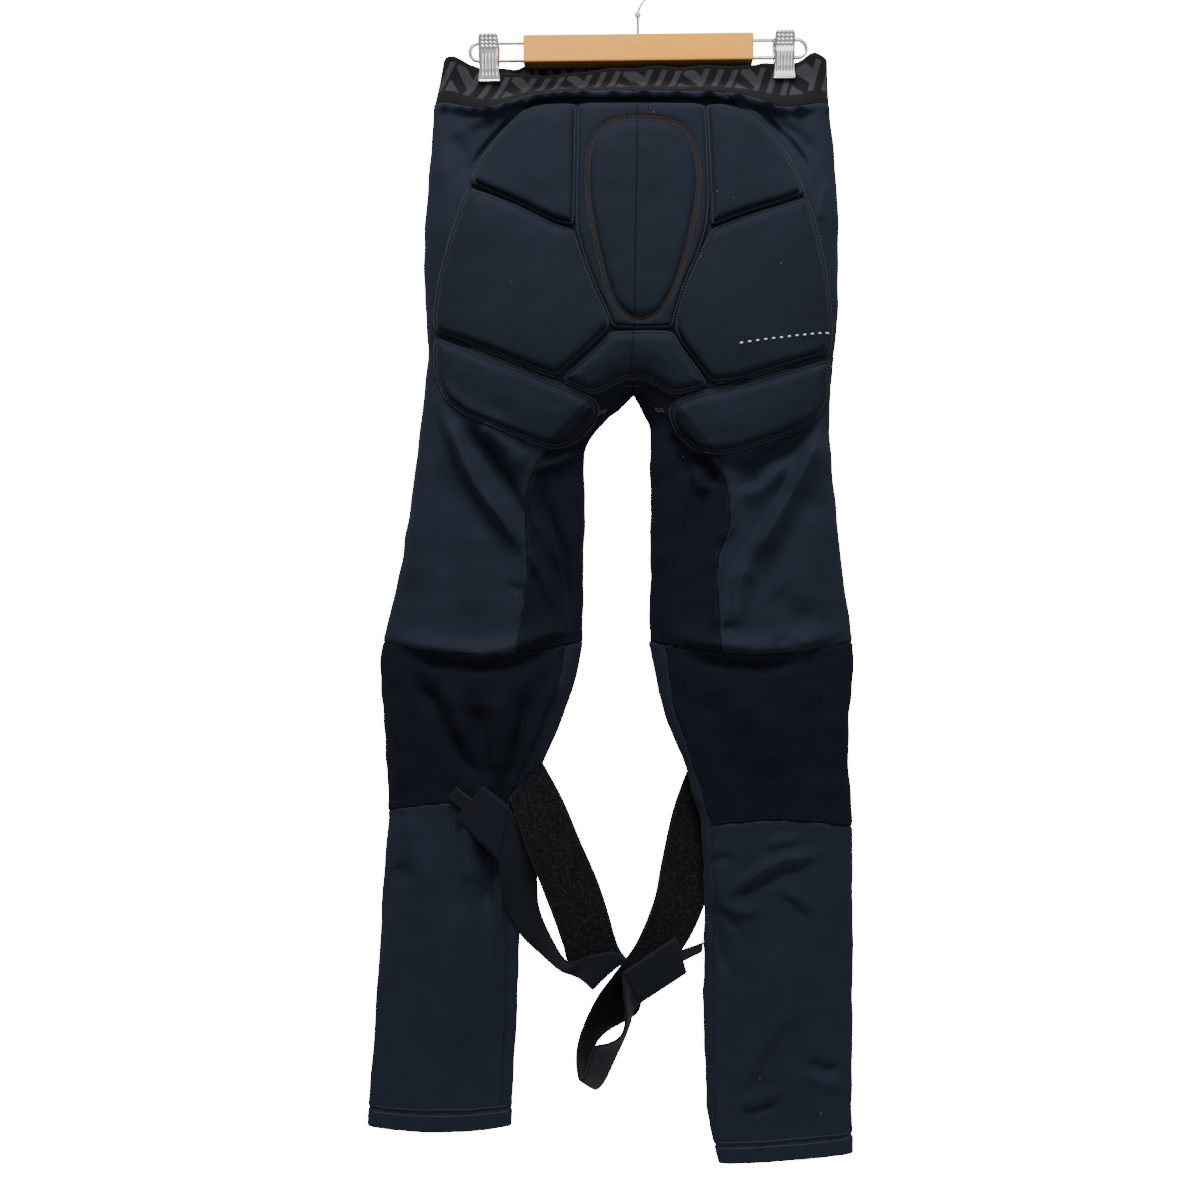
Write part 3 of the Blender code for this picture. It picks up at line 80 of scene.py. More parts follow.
camera_data = bpy.data.cameras.new("photo_camera")
camera_data.sensor_width = SENSOR_WIDTH
camera_data.lens = LENS
camera = bpy.data.objects.new("photo_camera", camera_data)
camera.location = CAMERA_PLACE
camera.rotation_euler = (math.radians(90), 0.0, 0.0)
scene.collection.objects.link(camera)
scene.camera = camera
print("camera stands", -CAMERA_PLACE[1], "m in front")

# %% Sky, lamps and floor
SKY_LIGHT = 0.31
SKY_SEEN = 16.0

world = bpy.data.worlds.new("white_studio")
world.use_nodes = True
scene.world = world
sky = world.node_tree.nodes["Background"]
sky.inputs["Color"].default_value = (1.0, 1.0, 1.0, 1.0)
seen = world.node_tree.nodes.new("ShaderNodeLightPath")
strength = world.node_tree.nodes.new("ShaderNodeMapRange")
strength.inputs["To Min"].default_value = SKY_LIGHT
strength.inputs["To Max"].default_value = SKY_SEEN
world.node_tree.links.new(seen.outputs["Is Camera Ray"], strength.inputs["Value"])
world.node_tree.links.new(strength.outputs["Result"], sky.inputs["Strength"])


def soft_lamp(name, place, aim, size, power):
    lamp_data = bpy.data.lights.new(name, "AREA")
    lamp_data.shape = "DISK"
    lamp_data.size = size
    lamp_data.energy = power
    lamp = bpy.data.objects.new(name, lamp_data)
    lamp.location = place
    lamp.rotation_euler = (Vector(aim) - Vector(place)).to_track_quat("-Z", "Y").to_euler()
    scene.collection.objects.link(lamp)


soft_lamp("top_lamp", place=(-0.2, -1.2, 1.35), aim=(0.0, 0.0, -0.58), size=0.9, power=58.0)
soft_lamp("front_lamp", place=(0.5, -1.9, 0.0), aim=(0.0, 0.0, -0.6), size=1.4, power=12.0)

FLOOR_Z, FLOOR_RADIUS = -1.56, 0.85
FLOOR_COLOUR = (0.8, 0.8, 0.8, 1.0)
bpy.ops.mesh.primitive_circle_add(vertices=96, radius=FLOOR_RADIUS, fill_type="NGON")
floor = bpy.context.object
floor.name = "studio_floor"
floor.location = (0.0, 0.0, FLOOR_Z)
pale = bpy.data.materials.new("pale_floor")
pale.use_nodes = True
pale.node_tree.nodes["Principled BSDF"].inputs["Base Color"].default_value = FLOOR_COLOUR
floor.data.materials.append(pale)
print("floor at", FLOOR_Z)

# %% [markdown]
# ## The shape of the hanging tights
# Hung tights are a flattened tube that splits into two. The CAD source describes it by a
# table of levels, each with its outer and inner edge and its depth. The same tables are
# repeated here, because a finer surface has to lie where the solids are. Drop is a share of
# the length below the waist seam, and across a share of half the hip width.

# %% Sizes shared with the solids
HALF_HIP = 0.181
TIGHTS_LENGTH = 0.923
HANG_DEPTH = 0.060
WAIST_Z = -0.135
CENTRE_X = -0.0045
SIDE_Y = -0.004
SECTION_ROUNDNESS = 2.4
CLOTH_WALL = 0.0012
SEAM_GAP = 0.0005
SIGN = {"left": -1.0, "right": 1.0}
CLIP_OUT = {"left": 0.6994 * HALF_HIP, "right": 0.7326 * HALF_HIP}

Level = namedtuple("Level", "drop left_outer left_inner right_outer right_inner near far")
LEVELS = [Level(*row) for row in (
    (0.000, 0.958, -0.958, 0.953, -0.953, 0.45, 0.20),
    (0.043, 0.973, -0.973, 0.972, -0.972, 0.55, 0.25),
    (0.091, 0.992, -0.960, 0.992, -0.960, 0.60, 0.30),
    (0.138, 1.007, -0.860, 0.997, -0.860, 0.63, 0.34),
    (0.185, 1.002, -0.650, 0.997, -0.650, 0.63, 0.37),
    (0.228, 0.987, -0.360, 0.982, -0.360, 0.60, 0.37),
    (0.252, 0.992, -0.170, 0.970, -0.170, 0.56, 0.35),
    (0.268, 1.002, -0.050, 0.960, -0.050, 0.52, 0.33),
    (0.277, 1.007, 0.004, 0.958, 0.004, 0.50, 0.31),
    (0.290, 1.014, 0.068, 0.955, 0.048, 0.48, 0.29),
    (0.309, 1.026, 0.168, 0.954, 0.082, 0.45, 0.28),
    (0.333, 1.041, 0.230, 0.963, 0.087, 0.40, 0.27),
    (0.375, 1.070, 0.232, 0.982, 0.087, 0.36, 0.25),
    (0.432, 1.113, 0.229, 1.011, 0.087, 0.36, 0.25),
    (0.508, 1.200, 0.237, 1.064, 0.082, 0.40, 0.30),
    (0.532, 1.220, 0.257, 1.069, 0.101, 0.42, 0.32),
    (0.584, 1.200, 0.338, 1.050, 0.165, 0.43, 0.33),
    (0.622, 1.190, 0.425, 1.046, 0.245, 0.38, 0.30),
    (0.660, 1.177, 0.528, 1.060, 0.300, 0.33, 0.27),
    (0.684, 1.183, 0.574, 1.063, 0.334, 0.31, 0.25),
    (0.726, 1.200, 0.566, 1.066, 0.343, 0.28, 0.22),
    (0.755, 1.210, 0.543, 1.069, 0.348, 0.26, 0.20),
    (0.850, 1.239, 0.552, 1.069, 0.343, 0.20, 0.18),
    (0.945, 1.273, 0.580, 1.065, 0.361, 0.15, 0.13),
    (1.000, 1.287, 0.592, 1.069, 0.420, 0.13, 0.12),
)]
CROTCH_DROP = 0.277
KNEE_TOP_DROP = 0.509
KNEE_BOTTOM_DROP = {"left": 0.668, "right": 0.684}
HEM_TOP_DROP = {"left": 0.951, "right": 0.982}
HEM_BOTTOM_DROP = {"left": 0.968, "right": 0.999}
Wave = namedtuple("Wave", "side drop sag reach")
WAVES = (
    Wave("left", 0.512, 0.012, 0.05), Wave("right", 0.512, 0.011, 0.05),
    Wave("left", 0.668, -0.008, 0.04), Wave("right", 0.684, -0.008, 0.04),
    Wave("left", 0.968, 0.004, 0.03),
)
HEM_SLOPE = {"left": 0.0, "right": -0.010}
SEAM_DIP = {"left": 0.0075, "right": 0.0050}
print("levels:", len(LEVELS))


# %% Small curves used everywhere
def smooth_curve(xs, ys, x):
    """A smooth curve through the points that never overshoots between two of them."""
    x = np.clip(np.asarray(x, float), xs[0], xs[-1])
    slopes = np.diff(ys) / np.diff(xs)
    product = slopes[:-1] * slopes[1:]
    total = np.where(product > 0, slopes[:-1] + slopes[1:], 1.0)
    inner = np.where(product > 0, 2 * product / total, 0.0)
    tangents = np.concatenate([[slopes[0]], inner, [slopes[-1]]])
    i = np.clip(np.searchsorted(xs, x) - 1, 0, len(slopes) - 1)
    span = xs[i + 1] - xs[i]
    t = (x - xs[i]) / span
    return (
        (2 * t**3 - 3 * t**2 + 1) * ys[i] + (t**3 - 2 * t**2 + t) * span * tangents[i]
        + (3 * t**2 - 2 * t**3) * ys[i + 1] + (t**3 - t**2) * span * tangents[i + 1]
    )


def ease(t):
    t = np.clip(t, 0.0, 1.0)
    return t * t * (3 - 2 * t)


def hill(distance, reach):
    return np.exp(-((distance / reach) ** 2))


def at_level(name, drop):
    drops = np.array([row.drop for row in LEVELS])
    return smooth_curve(drops, np.array([getattr(row, name) for row in LEVELS]), drop)


def edges_of(side, drop):
    """How far out a leg's outer and inner edges lie at a level, in metres."""
    return [at_level(side + edge, drop) * HALF_HIP for edge in ("_outer", "_inner")]


def way_along(line):
    """The way from the start of a line to each of its points."""
    return np.concatenate([[0.0], np.cumsum(np.linalg.norm(np.diff(line, axis=0), axis=1))])


def ripple(x, z, wavelength, seed, terms=7):
    """Gentle waves in all directions, about 1 high, the same on every run."""
    random = np.random.default_rng(seed)
    total = np.zeros(np.broadcast(x, z).shape)
    for _ in range(terms):
        angle, phase = random.uniform(0, 2 * math.pi, 2)
        length = wavelength * random.uniform(0.7, 1.5)
        way = x * math.cos(angle) + z * math.sin(angle)
        total += np.sin(way * 2 * math.pi / length + phase)
    return total / math.sqrt(terms)


# %% [markdown]
# ## Folds
# Cloth that hangs from two clips falls in long creases from the hips to the knees, and it
# puckers where a pad's lower edge or a seam holds it in. Each fold here is a line with a
# height. The cloth rises gently on one side of it and falls steeply on the other, as real
# creases do, which a plain bump of noise doesn't give.

# %% The lines of the folds, in millimetres (x, z)
Fold = namedtuple("Fold", "gentle steep lift line")
# Each row: gentle, steep and lift, then the line's x, z, x, z, ...
FOLD_ROWS = (
    (16, 4.5, 9, -169, -401, -157, -432, -140, -471, -121, -495, -105, -516, -95, -531),
    (7, 9, -8, -154, -415, -130, -442, -114, -468, -101, -494, -95, -522),
    (11, 11, 4.5, -139, -418, -111, -439, -94, -458),
    (5, 3, 3, -90, -458, -70, -452, -50, -441),
    (6, 7, -5, -83, -464, -80, -488, -73, -509, -66, -528, -62, -556, -59, -590),
    (5, 5, 3, -89, -497, -77, -518, -65, -542),
    (5, 4, 2.5, -94, -532, -79, -555, -70, -578),
    (6, 6, 3, -57, -458, -53, -500, -50, -543),
    (6, 3, 2.5, -95, -531, -98, -569, -105, -605),
    (3, 3, -1.8, -111, -556, -104, -560, -99, -559),
    (22, 22, 3, -182, -423, -188, -500, -194, -569),
    (12, 12, -2.5, -165, -440, -164, -500, -170, -560),
    (14, 14, 2, -135, -500, -137, -543, -144, -586),
    (9, 3.5, 5, -208, -603, -178, -610, -135, -616, -108, -610, -75, -598, -54, -596),
    (4, 6, -3.5, -200, -614, -170, -622, -134, -626, -101, -619, -74, -610),
    (9, 6, -6, -195, -633, -176, -659, -159, -693, -137, -727),
    (10, 7, 3, -170, -636, -157, -663, -142, -699, -129, -726),
    (9, 8, -6.5, -142, -656, -137, -685, -132, -710, -125, -732),
    (7, 6, 5, -120, -646, -118, -680, -118, -708, -117, -727),
    (6, 6, -5.5, -94, -646, -101, -680, -108, -710, -113, -730),
    (7, 5, 5, -67, -627, -79, -659, -93, -696, -105, -726),
    (10, 8, 2, -217, -655, -206, -697, -204, -740),
    (7, 7, -7, -130, -753, -131, -783, -130, -813, -129, -843),
    (9, 7, 4, -146, -751, -147, -783, -146, -817),
    (9, 8, 3, -114, -766, -117, -800, -121, -843),
    (14, 10, 2.5, -200, -753, -195, -783, -182, -826),
    (10, 8, 2, -208, -826, -217, -869, -219, -912),
    (8, 8, -2, -211, -799, -202, -807, -194, -802),
    (16, 16, 2, -161, -826, -164, -895, -170, -980),
    (14, 14, -2, -191, -869, -194, -920, -197, -980),
    (8, 6, -2, -116, -826, -118, -895, -120, -980),
    (15, 4.5, 9, 158, -418, 129, -480, 108, -514, 92, -537),
    (9, 7, 4, 94, -533, 86, -554, 84, -579, 86, -595),
    (8, 8, -6, 77, -451, 98, -456, 126, -437, 144, -422),
    (6, 5, -3.5, 86, -472, 105, -461),
    (9, 8, 3, 87, -483, 105, -473, 130, -451),
    (6, 6, -5, 45, -442, 58, -451, 72, -470),
    (4, 4, 4, 50, -438, 63, -447, 70, -458, 71, -471),
    (3.5, 3.5, 3, 48, -458, 52, -471, 63, -474),
    (6, 6, -4, 29, -423, 38, -447, 45, -466),
    (7, 6, 3, 19, -432, 21, -483, 19, -552),
    (4, 4, 2.5, 79, -483, 78, -507, 69, -520),
    (4, 6, 2.5, 69, -522, 68, -552, 72, -603),
    (14, 10, -3, 141, -466, 122, -509, 106, -543),
    (16, 16, 3, 158, -483, 152, -535, 149, -586),
    (14, 14, -2, 117, -560, 130, -578, 149, -595),
    (9, 3.5, 5, 26, -598, 53, -606, 100, -611, 139, -607, 175, -598),
    (4, 6, -3.5, 45, -616, 79, -624, 106, -627, 139, -622),
    (4, 4, -3, 114, -608, 126, -604, 140, -608),
    (3, 3, -2, 72, -591, 80, -594),
    (16, 14, 3.5, 87, -646, 105, -680, 109, -723),
    (12, 12, -3, 57, -646, 72, -689, 83, -732),
    (14, 12, -2, 152, -646, 154, -689, 149, -732),
    (6, 3.5, 3, 81, -821, 101, -806, 125, -793, 156, -789),
    (3.5, 6, -2.5, 84, -828, 105, -814, 127, -801, 149, -798),
    (5, 4, 2, 111, -781, 123, -777, 140, -774),
    (4, 4, -2, 63, -799, 72, -793, 80, -794),
    (4, 5, -2.2, 72, -839, 80, -847, 89, -855),
    (5, 4, 2, 74, -833, 87, -839, 105, -838),
    (6, 5, -3.5, 65, -831, 69, -860, 76, -895),
    (5, 5, 2.5, 72, -877, 76, -912, 74, -946),
    (5, 4, -2, 124, -826, 135, -833, 146, -844),
    (5, 5, 1.8, 130, -820, 140, -829, 149, -839),
    (10, 8, 2.5, 85, -996, 105, -961, 129, -922),
    (4, 3.5, -2.2, 91, -1015, 105, -1012, 121, -1008),
    (6, 5, 2.2, 89, -1008, 106, -1002, 126, -996),
    (5, 5, -2.5, 149, -970, 163, -978, 177, -978),
    (5, 5, 2, 144, -980, 160, -989, 180, -992),
    (14, 12, 2, 113, -860, 126, -903, 139, -946),
    (12, 10, -2, 92, -877, 96, -920, 94, -963),
    (6, 5, 2.5, 166, -207, 159, -226, 156, -247),
    (5, 5, -2, 118, -152, 139, -165, 154, -183),
    (7, 5, 2.5, -147, -161, -131, -149, -106, -141),
    (7, 6, -2, -163, -166, -151, -183, -147, -205),
    (9, 9, 2, -170, -183, -163, -226, -170, -278),
    (2.6, 2.6, -3.2, -97, -146, -112, -156, -125, -169, -136, -184, -144, -199),
    (2.6, 2.6, -3.2, 101, -145, 117, -155, 130, -168, 141, -184, 148, -199),
)
FOLDS = [Fold(*row[:3], np.reshape(row[3:], (-1, 2)) * 1.0) for row in FOLD_ROWS]
print("folds:", len(FOLDS))


# %% How far the folds lift the cloth
FOLD_DEPTH = 1.75
FOLD_CUTOFF = 2.6  # in widths: nothing is left of a fold beyond
FOLD_END, FOLD_END_RATE = 0.25, 4.5  # the height left at a fold's ends, and how soon it grows
FAR_WAVE, FAR_RUMPLE = 0.0022, 0.0009


def beside_line(line, x, z):
    """Distance from each point to a line, the side that it is on, and how far along it is."""
    lengths = np.hypot(*np.diff(line, axis=0).T)
    nearest = np.full(x.shape, 1e9)
    turned, passed = np.zeros(x.shape), np.zeros(x.shape)
    start, whole = 0.0, lengths.sum()
    for (ax, az), (bx, bz), length in zip(line, line[1:], lengths):
        along = ((x - ax) * (bx - ax) + (z - az) * (bz - az)) / length**2
        share = np.clip(along, 0.0, 1.0)
        away = np.hypot(x - ax - share * (bx - ax), z - az - share * (bz - az))
        cross = (bx - ax) * (z - az) - (bz - az) * (x - ax)
        closer = away < nearest
        nearest = np.where(closer, away, nearest)
        turned = np.where(closer, cross, turned)
        passed = np.where(closer, (start + share * length) / whole, passed)
        start += length
    return nearest, turned, passed


def fold_lift(x, z):
    """How far the near cloth stands out towards the viewer, in metres."""
    x, z = x * 1000, z * 1000
    total = np.zeros(x.shape)
    for fold in FOLDS:
        reach = FOLD_CUTOFF * max(fold.gentle, fold.steep)
        low, high = fold.line.min(axis=0) - reach, fold.line.max(axis=0) + reach
        inside = (x > low[0]) & (x < high[0]) & (z > low[1]) & (z < high[1])
        if inside.any():
            nearest, turned, passed = beside_line(fold.line, x[inside], z[inside])
            width = np.where(turned > 0, fold.gentle, fold.steep)
            ends = ease(np.minimum(passed, 1 - passed) * FOLD_END_RATE)
            fade = FOLD_END + (1 - FOLD_END) * ends
            total[inside] += FOLD_DEPTH * fold.lift * fade * hill(nearest, width)
    return total / 1000


def far_lift(x, z):
    """Broad soft waves on the far side."""
    broad = FAR_WAVE * np.sin(x * 95 + z * 9) * np.sin(z * 17 + 1.0)
    return broad + FAR_RUMPLE * ripple(x, z, 0.05, 5)


# %% [markdown]
# ## The surface of the tights
# One function gives the outer face of the cloth at any level and any share of the way round
# a leg, for panels of cloth. A second gives the near face straight from x and drop, for the
# pads and the stitches that lie on it. Both use the same folds, so nothing floats.

# %% Sections and points
PINCH_DEPTH, PINCH_DROP, PINCH_REACH = 0.50, 0.12, 0.030
OUTER_DIP, DIP_DROP, DIP_REACH = 0.0030, 0.06, 0.028
LIP_HEIGHT, LIP_DOWN, LIP_REACH = 0.0062, 0.0034, 0.0022
GROOVE_DEPTH, GROOVE_DOWN, GROOVE_REACH = 0.0062, 0.0078, 0.0026
PADS_X, PADS_HALF_WIDTH = 0.004, 0.124
FACING_RATE = 1.4  # how soon the cloth counts as facing the viewer, from the side seams in


@lru_cache(maxsize=None)
def section(side, drop):
    """Distances out, depths, shares of the way round and the whole way, in metres."""
    outer, inner = map(float, edges_of(side, drop))
    near = float(at_level("near", drop)) * HANG_DEPTH
    far = float(at_level("far", drop)) * HANG_DEPTH
    middle, half = (outer + inner) / 2, (outer - inner) / 2
    first = math.pi
    if inner < 0:
        first = math.acos(-(max(middle / half, 0.0) ** (SECTION_ROUNDNESS / 2)))
    angles = np.linspace(first, -first, 481)
    power = 2 / SECTION_ROUNDNESS
    out = middle + half * np.sign(np.cos(angles)) * np.abs(np.cos(angles)) ** power
    depth = np.where(angles > 0, -near, far) * np.abs(np.sin(angles)) ** power
    way = np.concatenate([[0.0], np.cumsum(np.hypot(np.diff(out), np.diff(depth)))])
    return out, depth, way / way[-1], way[-1]


def turn_of(side, drop, across, far=False):
    """How far round the section lies the point at this distance out."""
    out, _, way, _ = section(side, drop)
    outermost = int(np.argmax(out))
    if far:
        return float(np.interp(-across, -out[outermost:], way[outermost:]))
    return float(np.interp(across, out[: outermost + 1], way[: outermost + 1]))


def pinch(side, out, drop):
    return PINCH_DEPTH * ease(1 - drop / PINCH_DROP) * hill(out - CLIP_OUT[side], PINCH_REACH)


def height_of(side, out, drop, nearness):
    """World Z of a point this far down and out, with the dips and sags of the seams."""
    outer, inner = edges_of(side, drop)
    inner = np.maximum(inner, 0.0)
    share = np.clip((out - inner) / (outer - inner), 0.0, 1.0)
    under_clip = nearness * SEAM_DIP[side] * hill(out - CLIP_OUT[side], DIP_REACH)
    dip = OUTER_DIP * share**3 + under_clip
    sag = 0.0
    for wave in WAVES:
        if wave.side == side:
            sag = sag + wave.sag * np.sin(math.pi * share) * hill(drop - wave.drop, wave.reach)
    slope = HEM_SLOPE[side] * (share - 0.5) * ease((drop - 0.90) / 0.08)
    return WAIST_Z - dip * ease(1 - drop / DIP_DROP) - TIGHTS_LENGTH * (drop + sag + slope)


def lip_lift(x, drop):
    """The rumpled roll of cloth under the waistband, and the groove between it and the pads."""
    down = drop * TIGHTS_LENGTH
    crumple = 1 + 0.5 * ripple(x, 0 * x, 0.018, 31)
    over_pads = ease((PADS_HALF_WIDTH - np.abs(x - PADS_X)) / 0.020)
    lip = LIP_HEIGHT * crumple * hill(down - LIP_DOWN, LIP_REACH) * ease(down / 0.002)
    groove = GROOVE_DEPTH * hill(down - GROOVE_DOWN, GROOVE_REACH)
    return lip - groove * over_pads


def shell_grid(side, drops, turns):
    """Points of the outer face for rows of drops and, in each row, turns round the leg."""
    out, depth = np.empty_like(turns), np.empty_like(turns)
    for row, drop in enumerate(drops):
        out_line, depth_line, way, _ = section(side, float(drop))
        place = turns[row]
        if drop >= CROTCH_DROP:
            place = np.where((place < 0) | (place > 1), place % 1.0, place)
        out[row] = np.interp(place, way, out_line)
        depth[row] = np.interp(place, way, depth_line)
    drop = np.broadcast_to(np.asarray(drops)[:, None], turns.shape)
    near = at_level("near", drop) * HANG_DEPTH
    far = at_level("far", drop) * HANG_DEPTH
    nearness = ease(np.maximum(-depth, 0) / near * FACING_RATE)
    farness = ease(np.maximum(depth, 0) / far * FACING_RATE)
    x = CENTRE_X + SIGN[side] * (out + SEAM_GAP / 4)
    z = height_of(side, out, drop, nearness)
    y = SIDE_Y + depth * (1 - pinch(side, out, drop))
    y = y - (fold_lift(x, z) + lip_lift(x, drop)) * nearness
    y = y + far_lift(x, z) * farness * ease(drop / 0.05)
    return np.stack([x, y, z], axis=-1)


def near_cloth(across, drop):
    """The near face at signed shares of half the hip width from the centre line."""
    across, drop = np.broadcast_arrays(np.asarray(across, float), np.asarray(drop, float))
    found = {}
    for side in SIGN:
        out = np.abs(across) * HALF_HIP
        outer, inner = edges_of(side, drop)
        near = at_level("near", drop) * HANG_DEPTH
        offset = np.clip(np.abs(out - (outer + inner) / 2) / ((outer - inner) / 2), 0, 1)
        rise = (1 - offset**SECTION_ROUNDNESS) ** (1 / SECTION_ROUNDNESS)
        nearness = ease(rise * FACING_RATE)
        x = CENTRE_X + across * HALF_HIP
        z = height_of(side, out, drop, nearness)
        y = SIDE_Y - near * rise * (1 - pinch(side, out, drop))
        y = y - (fold_lift(x, z) + lip_lift(x, drop)) * nearness
        found[side] = np.stack([x, y, z], axis=-1)
    return np.where((across < 0)[..., None], found["left"], found["right"])


print("cloth at the middle of the seat:", np.round(near_cloth(0.1, 0.12), 4))

# %% [markdown]
# ## Finishes
# A knit reads as cloth through three things: a fine regular relief, slow changes of shade
# where it has been worn, and a soft sheen at glancing angles. The first two are made once,
# as node groups with named values, and used by every cloth here. The sheen is the same all
# over, so it sits on each material's own shader.


# %% A helper for node groups
def node_group(name, inputs, outputs):
    """An empty shader group with its sockets, and its two end nodes."""
    group = bpy.data.node_groups.new(name, "ShaderNodeTree")
    for label, kind, value in inputs:
        socket = group.interface.new_socket(label, in_out="INPUT", socket_type="NodeSocket" + kind)
        if value is not None:
            socket.default_value = value
    for label, kind in outputs:
        group.interface.new_socket(label, in_out="OUTPUT", socket_type="NodeSocket" + kind)
    return group, group.nodes.new("NodeGroupInput"), group.nodes.new("NodeGroupOutput")


def maths(tree, operation, one, other=None, third=None):
    """One Math node whose inputs are numbers or sockets. It gives back its output."""
    node = tree.nodes.new("ShaderNodeMath")
    node.operation = operation
    for socket, value in zip(node.inputs, (one, other, third)):
        if isinstance(value, (int, float)):
            socket.default_value = value
        elif value is not None:
            tree.links.new(value, socket)
    return node.outputs[0]


def axes_of(tree, vector):
    """The outputs that hold the three parts of a vector."""
    node = tree.nodes.new("ShaderNodeSeparateXYZ")
    tree.links.new(vector, node.inputs[0])
    return node.outputs


def noise(tree, place, scale, detail=2.0, rough=0.5):
    node = tree.nodes.new("ShaderNodeTexNoise")
    node.inputs["Detail"].default_value = detail
    node.inputs["Roughness"].default_value = rough
    tree.links.new(place, node.inputs["Vector"])
    if isinstance(scale, (int, float)):
        node.inputs["Scale"].default_value = scale
    else:
        tree.links.new(scale, node.inputs["Scale"])
    return node.outputs["Fac"]


# %% Worn cloth: slow changes of shade, and a few specks of lint
FINE_SCALE = 900.0
SPECK_SCALE, SPECK_SIZE, SPECKLESS_SHARE = 75.0, 0.055, 0.95

worn_cloth, given, result = node_group(
    "worn_cloth",
    [("Place", "Vector", None), ("Patch Size", "Float", 0.06), ("Lint", "Float", 1.0)],
    [("Shade", "Float"), ("Specks", "Float")],
)
patch_scale = maths(worn_cloth, "DIVIDE", 1.0, given.outputs["Patch Size"])
patches = noise(worn_cloth, given.outputs["Place"], patch_scale, 4.0, 0.6)
fine = noise(worn_cloth, given.outputs["Place"], FINE_SCALE, 2.0, 0.6)
shade = maths(worn_cloth, "MULTIPLY_ADD", patches, 0.55, 0.62)
shade = maths(worn_cloth, "MULTIPLY_ADD", fine, 0.22, shade)
worn_cloth.links.new(shade, result.inputs["Shade"])
cells = worn_cloth.nodes.new("ShaderNodeTexVoronoi")
cells.inputs["Scale"].default_value = SPECK_SCALE
worn_cloth.links.new(given.outputs["Place"], cells.inputs["Vector"])
dots = maths(worn_cloth, "LESS_THAN", cells.outputs["Distance"], SPECK_SIZE)
split = worn_cloth.nodes.new("ShaderNodeSeparateColor")
worn_cloth.links.new(cells.outputs["Color"], split.inputs["Color"])
some = maths(worn_cloth, "GREATER_THAN", split.outputs[0], SPECKLESS_SHARE)
specks = maths(worn_cloth, "MULTIPLY", maths(worn_cloth, "MULTIPLY", dots, some),
               given.outputs["Lint"])
worn_cloth.links.new(specks, result.inputs["Specks"])

# %% Knit relief: rows of small loops in both directions
knit_relief, given, result = node_group(
    "knit_relief",
    [("Cloth", "Vector", None), ("Loop Width", "Float", 0.0009),
     ("Loop Height", "Float", 0.0009), ("Holes", "Float", 0.0)],
    [("Height", "Float"), ("Hole", "Float")],
)
waves = []
for way, size in zip(axes_of(knit_relief, given.outputs["Cloth"]), ("Loop Width", "Loop Height")):
    turns = maths(knit_relief, "DIVIDE", way, given.outputs[size])
    waves.append(maths(knit_relief, "SINE", maths(knit_relief, "MULTIPLY", turns, 2 * math.pi)))
loops = maths(knit_relief, "MULTIPLY", *waves)
knit_relief.links.new(maths(knit_relief, "MULTIPLY_ADD", loops, 0.5, 0.5), result.inputs["Height"])
holes = maths(knit_relief, "GREATER_THAN", loops, 0.35)
holes = maths(knit_relief, "MULTIPLY", holes, given.outputs["Holes"])
knit_relief.links.new(holes, result.inputs["Hole"])
print("shared effects:", [group.name for group in bpy.data.node_groups])


# %% A helper for materials
SHEEN_ROUGHNESS = 0.45


def new_material(name, roughness, metallic=0.0, sheen=0.0, sheen_tint=(1.0, 1.0, 1.0),
                 gloss=0.12):
    material = bpy.data.materials.new(name)
    material.use_nodes = True
    shader = material.node_tree.nodes["Principled BSDF"]
    shader.inputs["Roughness"].default_value = roughness
    shader.inputs["Metallic"].default_value = metallic
    shader.inputs["Specular IOR Level"].default_value = gloss
    shader.inputs["Sheen Weight"].default_value = sheen
    shader.inputs["Sheen Roughness"].default_value = SHEEN_ROUGHNESS
    shader.inputs["Sheen Tint"].default_value = (*sheen_tint, 1.0)
    return material, material.node_tree, shader


def use_group(tree, group, **values):
    """Places a group in a material. Sockets are named with _ for a space."""
    node = tree.nodes.new("ShaderNodeGroup")
    node.node_tree = group
    for label, value in values.items():
        socket = node.inputs[label.replace("_", " ")]
        if isinstance(value, (int, float)):
            socket.default_value = value
        else:
            tree.links.new(value, socket)
    return node


def places(tree):
    """Where a point is in space, and where it is on its own flat cloth."""
    node = tree.nodes.new("ShaderNodeTexCoord")
    return node.outputs["Object"], node.outputs["UV"]


def blend_colours(tree, share, one, other):
    """A mix of two colours, each a tuple or a socket."""
    node = tree.nodes.new("ShaderNodeMix")
    node.data_type = "RGBA"
    tree.links.new(share, node.inputs["Factor"])
    for socket, value in ((node.inputs[6], one), (node.inputs[7], other)):
        if isinstance(value, tuple):
            socket.default_value = (*value, 1.0)
        else:
            tree.links.new(value, socket)
    return node.outputs[2]


def scale_colour(tree, colour, shade):
    node = tree.nodes.new("ShaderNodeVectorMath")
    node.operation = "SCALE"
    if isinstance(colour, tuple):
        node.inputs[0].default_value = colour
    else:
        tree.links.new(colour, node.inputs[0])
    tree.links.new(shade, node.inputs["Scale"])
    return node.outputs[0]


def add_bump(tree, shader, height, distance):
    node = tree.nodes.new("ShaderNodeBump")
    node.inputs["Distance"].default_value = distance
    tree.links.new(height, node.inputs["Height"])
    tree.links.new(node.outputs["Normal"], shader.inputs["Normal"])


def worn_material(name, colour, roughness, patch, lint=0.0, **looks):
    """A finish of one colour with worn patches. Gives back what more nodes need."""
    material, tree, shader = new_material(name, roughness, **looks)
    space, _ = places(tree)
    worn = use_group(tree, worn_cloth, Place=space, Patch_Size=patch, Lint=lint)
    shade = worn.outputs["Shade"]
    tree.links.new(scale_colour(tree, colour, shade), shader.inputs["Base Color"])
    return material, tree, shader, space, shade


LINT_COLOUR = (0.10, 0.105, 0.11)


